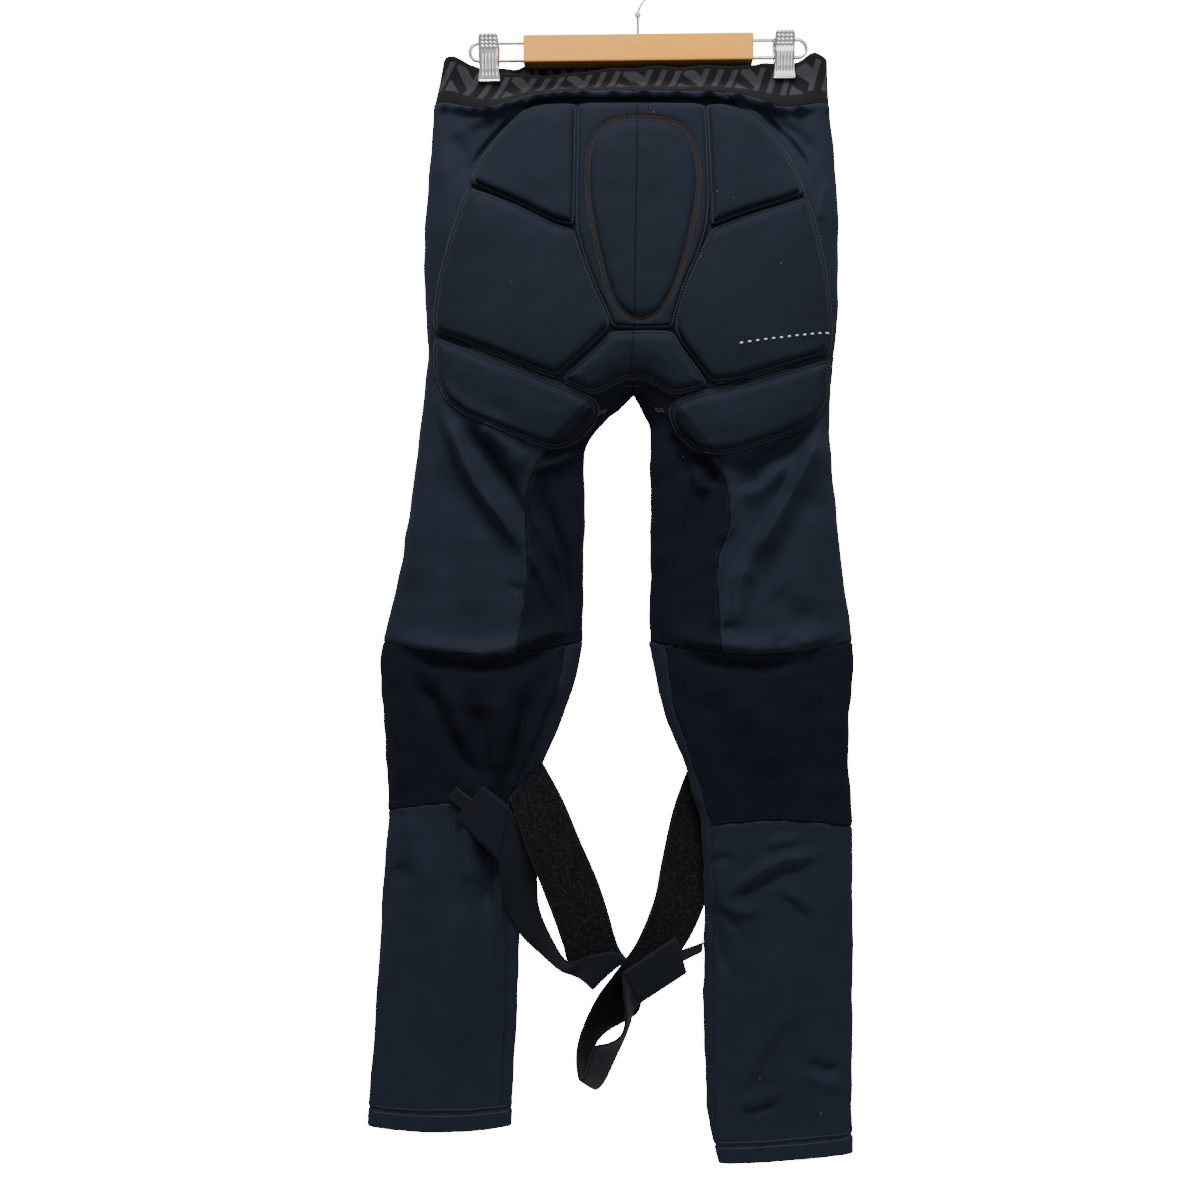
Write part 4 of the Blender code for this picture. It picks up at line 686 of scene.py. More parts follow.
# %% Body knit, mesh and pad cloth
def cloth_material(name, colour, loop, bump, holes=0.0, hole_shade_colour=(0.002, 0.002, 0.003),
                   sheen=0.05, roughness=0.80, patch=0.06, lint=1.0, cover=False):
    """A knitted cloth: its colour, the size of its loops in metres and how deep they are.

    With cover, mesh shows instead wherever the point value "cover" is above zero.
    """
    material, tree, shader = new_material(name, roughness, sheen=sheen, sheen_tint=(0.8, 0.9, 1.0))
    space, cloth = places(tree)
    worn = use_group(tree, worn_cloth, Place=space, Patch_Size=patch, Lint=lint)
    knit = use_group(tree, knit_relief, Cloth=cloth, Loop_Width=loop, Loop_Height=loop * 0.9,
                     Holes=holes)
    if cover:
        stored = tree.nodes.new("ShaderNodeAttribute")
        stored.attribute_name = "cover"
        covered = maths(tree, "GREATER_THAN", stored.outputs["Fac"], 0.0)
        colour = blend_colours(tree, covered, colour, MESH_COLOUR)
        tree.links.new(maths(tree, "MULTIPLY", covered, MESH_HOLES), knit.inputs["Holes"])
    base = scale_colour(tree, colour, worn.outputs["Shade"])
    # The mesh's holes are not cut through. They take a near-black colour: painted shade of the dim
    # inside seen through them.
    base = blend_colours(tree, knit.outputs["Hole"], base, hole_shade_colour)
    base = blend_colours(tree, worn.outputs["Specks"], base, LINT_COLOUR)
    tree.links.new(base, shader.inputs["Base Color"])
    add_bump(tree, shader, knit.outputs["Height"], bump)
    return material


BODY_COLOUR = (0.0114, 0.0154, 0.0272)
MESH_COLOUR, MESH_HOLES = (0.0049, 0.0075, 0.0142), 0.75
PAD_COLOUR = (0.0096, 0.0130, 0.0226)
THIGH_PAD_COLOUR = (0.0098, 0.0134, 0.0236)
body_knit = cloth_material("body_knit", BODY_COLOUR, loop=0.0010, bump=0.00010)
pad_cloth = cloth_material("pad_cover", PAD_COLOUR, loop=0.0010, bump=0.00008, sheen=0.04)
open_mesh = cloth_material("open_mesh", MESH_COLOUR, loop=0.0021, bump=0.00035,
                           holes=MESH_HOLES, sheen=0.02, roughness=0.90)
thigh_pad_cloth = cloth_material("thigh_pad_cloth", THIGH_PAD_COLOUR, loop=0.0016,
                                 bump=0.00012, sheen=0.04, cover=True)
seat_knit = cloth_material("seat_knit", BODY_COLOUR, loop=0.0016, bump=0.00015, cover=True)
print("cloths:", body_knit.name, pad_cloth.name, open_mesh.name)


def onto_body(piece):
    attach(piece, "root")


# %% [markdown]
# ## Panels
# The tights are sewn from flat panels: seat, hip, front, inner thigh, knee, calf, an inner
# strip and a hem for each leg. Each is its own fine grid, laid on the same surface. Its edges
# sink a little and a small ridge runs beside them, which is what a flat seam does to cloth.


# %% Grids of points become meshes
def new_piece(name, data, materials):
    """A piece in the scene that shows a mesh or a curve with these finishes."""
    for material in materials:
        data.materials.append(material)
    piece = bpy.data.objects.new(name, data)
    scene.collection.objects.link(piece)
    return piece


def set_cover(mesh, cover):
    """Stores how far each point lies inside a mesh cover, for the finishes that show one."""
    values = mesh.attributes.new("cover", "FLOAT", "POINT")
    values.data.foreach_set("value", cover.astype(np.float32).ravel())


def grid_mesh(name, points, materials, uv=None, closed=False, centre=None, flip=False):
    """A mesh from rows of points. With a centre, its faces are turned away from it."""
    rows, columns = points.shape[:2]
    index = np.arange(rows * columns).reshape(rows, columns)
    left = index if closed else index[:, :-1]
    right = np.roll(index, -1, axis=1) if closed else index[:, 1:]
    quads = np.stack([left[:-1], right[:-1], right[1:], left[1:]], axis=-1).reshape(-1, 4)
    wide = columns + 1 if closed else columns
    uv_index = np.arange(rows * wide).reshape(rows, wide)
    corners = np.stack(
        [uv_index[:-1, :-1], uv_index[:-1, 1:], uv_index[1:, 1:], uv_index[1:, :-1]], axis=-1
    ).reshape(-1, 4)
    flat = points.reshape(-1, 3)
    if centre is not None:
        a, b, c, d = (flat[quads[:, k]] for k in range(4))
        normals = np.cross(c - a, d - b)
        out = (a + c) / 2 - np.asarray(centre)
        out[:, 2] = 0.0
        flip = (normals * out).sum() < 0
    if flip:
        quads, corners = quads[:, ::-1], corners[:, ::-1]
    mesh = bpy.data.meshes.new(name)
    mesh.from_pydata(flat.tolist(), [], quads.tolist())
    mesh.polygons.foreach_set("use_smooth", np.ones(len(quads), bool))
    if uv is not None:
        layer = mesh.uv_layers.new(name="cloth")
        layer.data.foreach_set("uv", np.ascontiguousarray(uv.reshape(-1, 2)[corners]).ravel())
    return new_piece(name, mesh, materials)


def thicken(piece, wall, offset=-1.0):
    solidify = piece.modifiers.new("cloth", "SOLIDIFY")
    solidify.thickness = wall
    solidify.offset = offset
    return solidify


def flat_size(points, closed=False):
    """Width, length and area of the cloth laid flat, in metres, from its grid of points."""
    if closed:
        points = np.concatenate([points, points[:, :1]], axis=1)
    along = np.linalg.norm(np.diff(points, axis=1), axis=-1)
    down = np.linalg.norm(np.diff(points, axis=0), axis=-1)
    width, length = along.sum(axis=1).max(), down.sum(axis=0).max()
    diagonals = points[1:, 1:] - points[:-1, :-1], points[1:, :-1] - points[:-1, 1:]
    area = np.linalg.norm(np.cross(*diagonals), axis=-1).sum() / 2
    return round(float(width), 4), round(float(length), 4), round(float(area), 6)


def declare_cloth(piece, points, held="hung", closed=False, **more):
    width, length, area = flat_size(points, closed)
    area = min(area, round(width * length, 6))
    print(f"{piece.name}: cut {width * 1000:.0f} x {length * 1000:.0f} mm, {area * 1e4:.1f} cm2")


# %% Seams as rows of drop and distance out
ROW_STEP = 0.0027 / TIGHTS_LENGTH
PAD_BORDER = {
    "left": ((0.000, 0.42), (0.006, 0.50), (0.014, 0.55), (0.026, 0.61), (0.044, 0.665),
             (0.086, 0.760), (0.110, 0.81), (0.143, 0.866), (0.175, 0.92), (0.210, 0.944),
             (0.233, 0.955), (0.261, 0.942), (0.284, 0.888), (0.299, 0.787), (0.311, 0.635),
             (0.322, 0.50), (0.331, 0.405)),
    "right": ((0.000, 0.42), (0.006, 0.47), (0.014, 0.53), (0.026, 0.615), (0.055, 0.729),
              (0.086, 0.785), (0.120, 0.855), (0.155, 0.903), (0.196, 0.945), (0.224, 0.952),
              (0.252, 0.945), (0.281, 0.926), (0.301, 0.880), (0.314, 0.770), (0.325, 0.600),
              (0.334, 0.45)),
}
TONGUE_INNER = {
    "left": ((0.277, 0.02), (0.283, 0.08), (0.290, 0.130), (0.300, 0.17), (0.311, 0.225),
             (0.322, 0.27), (0.331, 0.345)),
    "right": ((0.277, 0.02), (0.283, 0.07), (0.290, 0.115), (0.300, 0.16), (0.311, 0.195),
              (0.322, 0.245), (0.334, 0.36)),
}
THIGH_SEAM = {
    "left": ((0.331, 0.405), (0.345, 0.460), (0.377, 0.512), (0.432, 0.505), (0.470, 0.515),
             (0.512, 0.555)),
    "right": ((0.334, 0.40), (0.345, 0.425), (0.377, 0.462), (0.403, 0.460), (0.432, 0.402),
              (0.470, 0.404), (0.512, 0.422)),
}
STRIP_SEAM = {
    "left": ((0.503, 0.314), (0.555, 0.350), (0.612, 0.465), (0.659, 0.592), (0.687, 0.632),
             (0.726, 0.622), (0.791, 0.600), (0.861, 0.610), (1.000, 0.640)),
    "right": ((0.503, 0.153), (0.565, 0.190), (0.615, 0.270), (0.678, 0.372), (0.723, 0.385),
              (0.773, 0.396), (0.850, 0.383), (1.000, 0.400)),
}


def seam_turn(table, side, drop):
    """The turn of a seam at a level, on the near side."""
    drops, outs = zip(*table[side])
    return turn_of(side, drop, float(np.interp(drop, drops, outs)) * HALF_HIP)


def far_turn(side, drop, share):
    """A turn on the far side, at a share of the way from the leg's inner to its outer edge."""
    outer, inner = map(float, edges_of(side, drop))
    return turn_of(side, drop, inner + share * (outer - inner), far=True)


def far_hip(side, drop):
    return turn_of(side, drop, 0.80 * float(edges_of(side, drop)[0]), far=True)


def far_inner(side, drop):
    if drop <= CROTCH_DROP:
        return 1.0
    return far_turn(side, drop, 0.22 * float(ease((drop - CROTCH_DROP) / 0.06)))


# Below this arch (across, drop) the seat panel is mesh: the gusset between the thighs
GUSSET_ARCH = ((-0.30, 0.290), (-0.188, 0.2815), (-0.095, 0.272), (-0.038, 0.266),
               (0.042, 0.265), (0.089, 0.2697), (0.135, 0.276), (0.178, 0.2815), (0.30, 0.290))


# %% A panel with sunk seams and small wrinkles
SEAM_SINK, SEAM_SINK_REACH = 0.0008, 0.0013
SEAM_LAP, SIDE_LAP, WAIST_LAP, SEAM_START = 0.0009, 0.0004, 0.0012, 0.00005
SEAM_RIDGE, SEAM_RIDGE_FROM, SEAM_RIDGE_REACH = 0.0004, 0.0036, 0.0018
RUMPLE, PUCKER, PUCKER_REACH = 0.00040, 0.00028, 0.012
# Between these depths below the waist seam, the seat cloth takes the dark mesh colour: painted
# shade in the groove under the waist's lip.
GROOVE_SHADE_FROM, GROOVE_SHADE_TO = 0.0046, 0.0125  # the dark groove between the waist's lip and the pads


def surface_normals(points, closed=False):
    if closed:
        along = np.roll(points, -1, axis=1) - np.roll(points, 1, axis=1)
    else:
        along = np.gradient(points, axis=1)
    normals = np.cross(along, np.gradient(points, axis=0))
    return normals / np.maximum(np.linalg.norm(normals, axis=-1, keepdims=True), 1e-12)


def facing_out(points, centre, closed=False):
    """Normals of a grid of points, turned away from an upright line."""
    normals = surface_normals(points, closed)
    outwards = normals * (points - np.array(centre)) * np.array([1.0, 1.0, 0.0])
    return normals * math.copysign(1.0, outwards.sum())


def panel_rows(top, bottom):
    """The levels of a panel's rows of points, with a lap over the seams at both ends."""
    inside = np.arange(math.ceil(top / ROW_STEP), math.floor(bottom / ROW_STEP) + 1) * ROW_STEP
    inside = inside[(inside > top + ROW_STEP * 0.4) & (inside < bottom - ROW_STEP * 0.4)]
    start = top + (-WAIST_LAP if top == 0 else SEAM_START) / TIGHTS_LENGTH
    return np.concatenate([[start], inside, [bottom + SEAM_LAP / TIGHTS_LENGTH]])


def seam_relief(points, aside, down, rumple, seed):
    """Seams that sink, a ridge beside them, and small wrinkles, from the ways to the seams."""
    relief = np.zeros(aside.shape)
    for away in (aside, down):
        relief -= SEAM_SINK * hill(away, SEAM_SINK_REACH)
        relief += SEAM_RIDGE * hill(away - SEAM_RIDGE_FROM, SEAM_RIDGE_REACH)
    x, z = points[..., 0], points[..., 2]
    relief += RUMPLE * rumple * ripple(x, z, 0.030, seed)
    puckers = ripple(x, z * 0.6, 0.011, seed + 1)
    relief += PUCKER * rumple * puckers * hill(np.minimum(aside, down), PUCKER_REACH)
    return relief


def mesh_and_groove_shade(x, drops):
    """How far inside the seat's mesh colour a point lies: real mesh below the arch, painted shade
    in the groove.
    """
    below = drops - np.interp((x - CENTRE_X) / HALF_HIP, *zip(*GUSSET_ARCH))
    down = drops * TIGHTS_LENGTH
    return np.maximum(below * TIGHTS_LENGTH, np.minimum(down - GROOVE_SHADE_FROM, GROOVE_SHADE_TO - down))


def panel(name, side, top, bottom, first_turn, last_turn, spacing, material, seed, rumple=1.0):
    """One cloth panel between two seams, with its grid, its relief and its cloth map."""
    drops = panel_rows(top, bottom)
    firsts = np.array([first_turn(float(drop)) for drop in drops])[:, None]
    lasts = np.array([last_turn(float(drop)) for drop in drops])[:, None]
    sections = [section(side, float(drop)) for drop in drops]
    ways = np.array([found[3] for found in sections])[:, None]
    firsts, lasts = firsts - SIDE_LAP / ways, lasts + SIDE_LAP / ways
    columns = max(math.ceil(((lasts - firsts) * ways).max() / spacing), 6)
    shares = np.linspace(0.0, 1.0, columns + 1)[None, :]
    turns = firsts + (lasts - firsts) * shares
    smooth = shell_grid(side, drops, turns)
    aside = np.minimum(shares, 1 - shares) * (lasts - firsts) * ways
    down = bottom - drops if top == 0 else np.minimum(drops - top, bottom - drops)
    down = np.broadcast_to(down[:, None] * TIGHTS_LENGTH, turns.shape)
    centre = (CENTRE_X + SIGN[side] * HALF_HIP * 0.6, SIDE_Y, 0.0)
    relief = seam_relief(smooth, aside, down, rumple, seed)
    points = smooth + facing_out(smooth, centre) * relief[..., None]
    middles = np.array([way[int(np.argmax(out))] for out, _, way, _ in sections])[:, None]
    fall = np.broadcast_to(-drops[:, None], turns.shape) * TIGHTS_LENGTH
    uv = np.stack([(turns - middles) * ways, fall], axis=-1)
    piece = grid_mesh(name + "_cloth", points, [material], uv, centre=centre)
    # The seat's mesh colour covers the real gusset mesh below the arch. It also covers the groove
    # under the waist, where it is painted shade.
    if material is seat_knit:
        set_cover(piece.data, mesh_and_groove_shade(smooth[..., 0], drops[:, None]))
    thicken(piece, CLOTH_WALL)
    onto_body(piece)
    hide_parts(name)
    declare_cloth(piece, points)


# %% The sixteen panels
def make_panels(side, seed):
    tongue_end = TONGUE_INNER[side][-1][0]
    knee_bottom, hem_top = KNEE_BOTTOM_DROP[side], HEM_TOP_DROP[side]

    def border(drop):
        return seam_turn(PAD_BORDER, side, drop)

    def tongue(drop):
        return 0.0 if drop < CROTCH_DROP else seam_turn(TONGUE_INNER, side, drop)

    def thigh(drop):
        return seam_turn(THIGH_SEAM, side, drop)

    def strip_near(drop):
        return seam_turn(STRIP_SEAM, side, drop)

    def strip_far(drop):
        return far_turn(side, drop, 0.09)

    panel("seat_panel_" + side, side, 0.0, tongue_end, tongue, border, 0.0026, seat_knit, seed)
    panel("hip_panel_" + side, side, 0.0, KNEE_TOP_DROP,
          lambda drop: border(drop) if drop < tongue_end else thigh(drop),
          lambda drop: far_hip(side, drop), 0.0027, body_knit, seed + 2)
    panel("front_panel_" + side, side, 0.0, KNEE_TOP_DROP, lambda drop: far_hip(side, drop),
          lambda drop: far_inner(side, drop), 0.0048, body_knit, seed + 4)
    panel("inner_thigh_" + side, side, CROTCH_DROP, KNEE_TOP_DROP,
          lambda drop: far_inner(side, drop) - 1.0,
          lambda drop: tongue(drop) if drop < tongue_end else thigh(drop),
          0.0026, open_mesh, seed + 6, rumple=1.6)
    panel("knee_panel_" + side, side, KNEE_TOP_DROP, knee_bottom, strip_near, strip_far,
          0.0028, open_mesh, seed + 8)
    panel("calf_panel_" + side, side, knee_bottom, hem_top, strip_near, strip_far,
          0.0030, body_knit, seed + 10)
    panel("inner_strip_" + side, side, KNEE_TOP_DROP, hem_top,
          lambda drop: strip_far(drop) - 1.0, strip_near, 0.0026, body_knit, seed + 12)


for side, seed in (("left", 100), ("right", 200)):
    make_panels(side, seed)


# %% Hems: a ring of turned cloth at the end of each leg
HEM_ROWS, HEM_COLUMNS = 9, 130
HEM_WALL, HEM_RISE, HEM_RUMPLE = CLOTH_WALL * 1.4, 0.0005, 0.0003


def make_hem(side):
    drops = np.linspace(HEM_TOP_DROP[side] + 0.00005, HEM_BOTTOM_DROP[side], HEM_ROWS)
    turns = np.tile(np.arange(HEM_COLUMNS) / HEM_COLUMNS, (HEM_ROWS, 1))
    points = shell_grid(side, drops, turns)
    centre = points.mean(axis=(0, 1))
    down = (drops - drops[0])[:, None] * TIGHTS_LENGTH
    relief = -SEAM_SINK * hill(down, SEAM_SINK_REACH) + HEM_RISE * ease(down / 0.003)
    relief = relief + HEM_RUMPLE * ripple(points[..., 0], points[..., 2], 0.02, 41)
    points = points + facing_out(points, centre, closed=True) * relief[..., None]
    around = np.arange(HEM_COLUMNS + 1) * (section(side, float(drops[0]))[3] / HEM_COLUMNS)
    uv = np.stack(np.meshgrid(around, -drops * TIGHTS_LENGTH), axis=-1)
    piece = grid_mesh(f"hem_{side}_cloth", points, [body_knit], uv, closed=True, centre=centre)
    thicken(piece, HEM_WALL)
    onto_body(piece)
    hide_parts("hem_" + side)
    declare_cloth(piece, points, closed=True)


for side in SIGN:
    make_hem(side)

# %% [markdown]
# ## Pads
# Each pad is a block of foam with a flat face, steep sides and softly rounded edges, sewn
# down all round. A cloth simulation would blow it up like a cushion, so its form is drawn:
# rings follow the outline up the side, and a mesh of triangles closes the face and the base.
# The sides lean out a little over the channels, which gives the dark line under each pad.

# %% The outlines of the pads, along the middle of the channels round them (across, drop)
PAD_OUTLINES = {
    "pad_upper_left": (
        (-0.769, 0.084), (-0.715, 0.064), (-0.660, 0.043), (-0.595, 0.0255), (-0.520, 0.0165),
        (-0.443, 0.0135), (-0.350, 0.0125), (-0.262, 0.0125), (-0.266, 0.035), (-0.267, 0.063),
        (-0.271, 0.095), (-0.274, 0.129), (-0.374, 0.124), (-0.546, 0.106), (-0.660, 0.095),
    ),
    "pad_upper_right": (
        (0.808, 0.094), (0.778, 0.078), (0.729, 0.055), (0.626, 0.0295), (0.556, 0.0195),
        (0.454, 0.0140), (0.338, 0.0125), (0.346, 0.035), (0.352, 0.063), (0.361, 0.104),
        (0.358, 0.129), (0.482, 0.119), (0.623, 0.109), (0.720, 0.102),
    ),
    "pad_seat_left": (
        (-0.775, 0.088), (-0.660, 0.097), (-0.546, 0.107), (-0.374, 0.125), (-0.274, 0.132),
        (-0.229, 0.160), (-0.174, 0.188), (-0.109, 0.213), (-0.104, 0.221), (-0.174, 0.234),
        (-0.240, 0.246), (-0.318, 0.258), (-0.360, 0.265), (-0.470, 0.257), (-0.588, 0.248),
        (-0.780, 0.233), (-0.865, 0.227), (-0.935, 0.221), (-0.940, 0.205), (-0.915, 0.175),
        (-0.866, 0.143), (-0.815, 0.112),
    ),
    "pad_seat_right": (
        (0.815, 0.097), (0.720, 0.104), (0.623, 0.111), (0.482, 0.121), (0.359, 0.131),
        (0.303, 0.155), (0.240, 0.183), (0.196, 0.210), (0.189, 0.223), (0.227, 0.236),
        (0.295, 0.253), (0.362, 0.270), (0.483, 0.268), (0.703, 0.255), (0.800, 0.249),
        (0.873, 0.244), (0.930, 0.240), (0.945, 0.224), (0.938, 0.196), (0.900, 0.155),
        (0.855, 0.120),
    ),
    "pad_thigh_left": (
        (-0.930, 0.226), (-0.860, 0.232), (-0.780, 0.239), (-0.589, 0.254), (-0.470, 0.263),
        (-0.342, 0.273), (-0.240, 0.281), (-0.174, 0.286), (-0.165, 0.297), (-0.230, 0.314),
        (-0.300, 0.325), (-0.378, 0.329), (-0.500, 0.321), (-0.625, 0.311), (-0.780, 0.299),
        (-0.880, 0.284), (-0.930, 0.261), (-0.944, 0.240),
    ),
    "pad_thigh_right": (
        (0.932, 0.245), (0.883, 0.249), (0.820, 0.253), (0.703, 0.261), (0.530, 0.271),
        (0.363, 0.278), (0.280, 0.282), (0.205, 0.287), (0.175, 0.294), (0.205, 0.312),
        (0.292, 0.330), (0.390, 0.334), (0.495, 0.331), (0.620, 0.323), (0.770, 0.313),
        (0.870, 0.301), (0.918, 0.281), (0.935, 0.262),
    ),
    "pad_crotch": (
        (-0.104, 0.224), (-0.170, 0.237), (-0.250, 0.251), (-0.346, 0.267), (-0.265, 0.273),
        (-0.188, 0.279), (-0.110, 0.271), (-0.045, 0.264), (0.010, 0.262), (0.065, 0.264),
        (0.125, 0.271), (0.190, 0.279), (0.275, 0.276), (0.360, 0.272), (0.300, 0.256),
        (0.230, 0.239), (0.189, 0.224), (0.100, 0.223), (0.000, 0.223),
    ),
    "pad_centre": (
        (-0.264, 0.0125), (-0.100, 0.0130), (0.060, 0.0130), (0.200, 0.0130), (0.340, 0.0125),
        (0.349, 0.040), (0.353, 0.070), (0.359, 0.104), (0.345, 0.130), (0.303, 0.155),
        (0.240, 0.183), (0.196, 0.210), (0.188, 0.222), (0.100, 0.222), (0.040, 0.222),
        (-0.020, 0.222), (-0.104, 0.221), (-0.120, 0.209), (-0.174, 0.188), (-0.229, 0.160),
        (-0.272, 0.131), (-0.271, 0.095), (-0.267, 0.063), (-0.266, 0.035),
    ),
    "pad_tailbone": (
        (-0.034, 0.028), (-0.118, 0.032), (-0.178, 0.044), (-0.211, 0.063), (-0.217, 0.085),
        (-0.209, 0.108), (-0.176, 0.142), (-0.138, 0.174), (-0.092, 0.199), (-0.020, 0.213),
        (0.054, 0.215), (0.123, 0.208), (0.179, 0.191), (0.226, 0.167), (0.262, 0.140),
        (0.297, 0.108), (0.309, 0.080), (0.288, 0.055), (0.239, 0.036), (0.165, 0.030),
        (0.066, 0.027),
    ),
}
print("pads:", len(PAD_OUTLINES))


# %% Loops on flat cloth, in metres
def pad_loop(name, spacing=0.0020, rounds=7):
    """The outline as evenly spaced points with rounded corners."""
    corners = np.array(PAD_OUTLINES[name]) * np.array([HALF_HIP, -TIGHTS_LENGTH])
    line = np.vstack([corners, corners[:1]])
    way = way_along(line)
    at = np.linspace(0, way[-1], round(way[-1] / spacing), endpoint=False)
    loop = np.stack([np.interp(at, way, line[:, k]) for k in (0, 1)], axis=1)
    area = (loop[:, 0] * np.roll(loop[:, 1], -1) - np.roll(loop[:, 0], -1) * loop[:, 1]).sum()
    if area < 0:
        loop = loop[::-1]
    return soften(loop, rounds)


def soften(loop, rounds):
    for _ in range(rounds):
        loop = (np.roll(loop, 1, axis=0) + 2 * loop + np.roll(loop, -1, axis=0)) / 4
    return loop


def inset(loop, distance):
    """The loop moved inwards by a distance, which may differ from point to point.

    Past a corner tighter than the distance, the points lie on the line that joins the sound
    ones on both sides, so the loop never crosses itself.
    """
    distance = np.broadcast_to(distance, len(loop))
    moved = loop + inwards_of(loop) * distance[:, None]
    sound = away_from(loop, moved) > np.abs(distance) * 0.94 - 0.0001
    if not sound.all():
        order, kept = np.arange(len(loop)), np.flatnonzero(sound)
        for k in (0, 1):
            moved[:, k] = np.interp(order, kept, moved[kept, k], period=len(loop))
    return soften(moved, 2)


def inwards_of(loop):
    along = np.roll(loop, -1, axis=0) - np.roll(loop, 1, axis=0)
    along /= np.linalg.norm(along, axis=1, keepdims=True)
    return np.stack([-along[:, 1], along[:, 0]], axis=1)


def inside(loop, points):
    """Which points lie inside a closed loop."""
    found = np.zeros(len(points), bool)
    for (ax, ay), (bx, by) in zip(loop, np.roll(loop, -1, axis=0)):
        crosses = (ay > points[:, 1]) != (by > points[:, 1])
        with np.errstate(divide="ignore", invalid="ignore"):
            at = ax + (points[:, 1] - ay) * (bx - ax) / (by - ay)
        found ^= crosses & (points[:, 0] < at)
    return found


def away_from(loop, points):
    """Distance from each point to the nearest point of a loop."""
    nearest = np.full(len(points), 1e9)
    for start in range(0, len(loop), 64):
        part = loop[start: start + 64]
        gaps = np.linalg.norm(points[:, None] - part[None], axis=-1).min(axis=1)
        nearest = np.minimum(nearest, gaps)
    return nearest


SLIVER_AREA = 1e-9  # square metres; thinner triangles lie outside a straight edge


def fill_loop(outer, hole, spacing):
    """Points and triangles that fill a loop, its own points first, then the hole's."""
    rings = [outer] if hole is None else [outer, hole]
    boundary = np.concatenate(rings)
    edges, start = [], 0
    for ring in rings:
        edges += [(start + j, start + (j + 1) % len(ring)) for j in range(len(ring))]
        start += len(ring)
    low, high = outer.min(axis=0), outer.max(axis=0)
    grid = np.array([
        (x + spacing / 2 * (k % 2), z)
        for k, z in enumerate(np.arange(low[1], high[1], spacing * 0.866))
        for x in np.arange(low[0], high[0], spacing)
    ])
    keep = inside(outer, grid) & (away_from(boundary, grid) > spacing * 0.6)
    if hole is not None:
        keep &= ~inside(hole, grid)
    points = np.concatenate([boundary, grid[keep]])
    found = geometry.delaunay_2d_cdt([Vector(p * 1000) for p in points], edges, [], 0, 1e-5)
    back = [origin[0] if origin else 0 for origin in found[3]]
    triangles = np.array([[back[i] for i in face] for face in found[2]])
    middles = points[triangles].mean(axis=1)
    one, two = (points[triangles[:, k]] - points[triangles[:, 0]] for k in (1, 2))
    area = np.abs(one[:, 0] * two[:, 1] - one[:, 1] * two[:, 0]) / 2
    good = inside(outer, middles) & (area > SLIVER_AREA)
    if hole is not None:
        good &= ~inside(hole, middles)
    return points, triangles[good]


# %% A pad from its loops
# How a pad's cover climbs from the seam to its face, as (inset, height) in millimetres: a
# sewn flange, a side that leans out over it, then the face. Where a pad faces up, its side
# is gentle instead, because the foam is pulled down there.
Profile = namedtuple("Profile", "steep gentle")
FLANGE = 3.6
PAD_SIDE = Profile(
    steep=((0.2, FLANGE), (1.6, FLANGE), (2.7, FLANGE), (2.9, 4.6), (2.8, 6.2), (3.1, 7.9),
           (4.0, 9.2), (5.6, 10.0), (7.8, 10.3), (9.8, 10.4)),
    gentle=((0.2, FLANGE), (1.6, FLANGE), (2.9, 3.8), (3.7, 4.9), (4.5, 6.3), (5.6, 7.8),
            (7.0, 9.0), (8.6, 9.8), (10.3, 10.2), (12.0, 10.4)),
)
LOW_SIDE = Profile(
    steep=((0.2, FLANGE), (1.6, FLANGE), (2.5, 3.8), (2.9, 4.6), (3.4, 5.5), (3.9, 5.9)),
    gentle=((0.2, FLANGE), (1.6, FLANGE), (2.5, 3.9), (2.9, 4.6), (3.4, 5.3), (3.9, 5.9)),
)
HOLE_SIDE = ((0.1, -0.3), (0.1, 2.6), (0.1, 4.4), (1.4, 4.5), (1.9, 4.8), (2.3, 5.2),
             (2.7, 5.6), (3.1, 5.9))
OVAL_SIDE = Profile(
    steep=((0.1, 4.4), (1.4, 4.5), (2.2, 5.0), (2.8, 6.0), (3.8, 7.2), (5.6, 8.2), (8.0, 8.7),
           (11.0, 8.9)),
    gentle=((0.1, 4.4), (1.4, 4.5), (2.6, 4.8), (4.0, 5.4), (6.0, 6.4), (8.5, 7.6), (11.5, 8.4),
            (15.0, 8.9)),
)
SEAM_REACH, BORDER_REACH = 0.00015, 0.0032
PAD_CROWN, PAD_RUMPLE = 0.0006, 0.0003
FACE_SPACING, BASE_SPACING = 0.0034, 0.009


def free_edge(name, loop):
    """1 where no other pad lies beyond the seam, and 0 where one does."""
    free = np.ones(len(loop), bool)
    for other in PAD_OUTLINES:
        if other != name:
            free &= away_from(pad_loop(other), loop) > 0.0050
    if name == "pad_tailbone":
        free[:] = False
    return soften(free.astype(float), 4)


def pad_rings(name, profile, hole_name):
    """Rings of flat points with heights, from under the seam up to the edge of the face."""
    loop = pad_loop(name)
    reach = SEAM_REACH + (BORDER_REACH - SEAM_REACH) * free_edge(name, loop)
    facing_up = ease(-inwards_of(loop)[:, 1])
    rings = [[inset(loop, -reach)], [inset(loop, -reach * 0.45)]]
    heights = [[np.full(len(loop), -0.0003)], [np.full(len(loop), FLANGE * 0.75e-3)]]
    for steep, gentle in zip(profile.steep, profile.gentle):
        blend = np.array(steep)[:, None] * (1 - facing_up) + np.array(gentle)[:, None] * facing_up
        rings.append([inset(loop, blend[0] / 1000)])
        heights.append([blend[1] / 1000])
    if hole_name:
        hole = pad_loop(hole_name)[::-1]
        for ring, height, (distance, lift) in zip(rings, heights, HOLE_SIDE):
            ring.append(inset(hole, distance / 1000))
            height.append(np.full(len(hole), lift / 1000))
    sizes = [len(ring) for ring in rings[0]]
    return [(np.concatenate(ring), np.concatenate(height))
            for ring, height in zip(rings, heights)], sizes


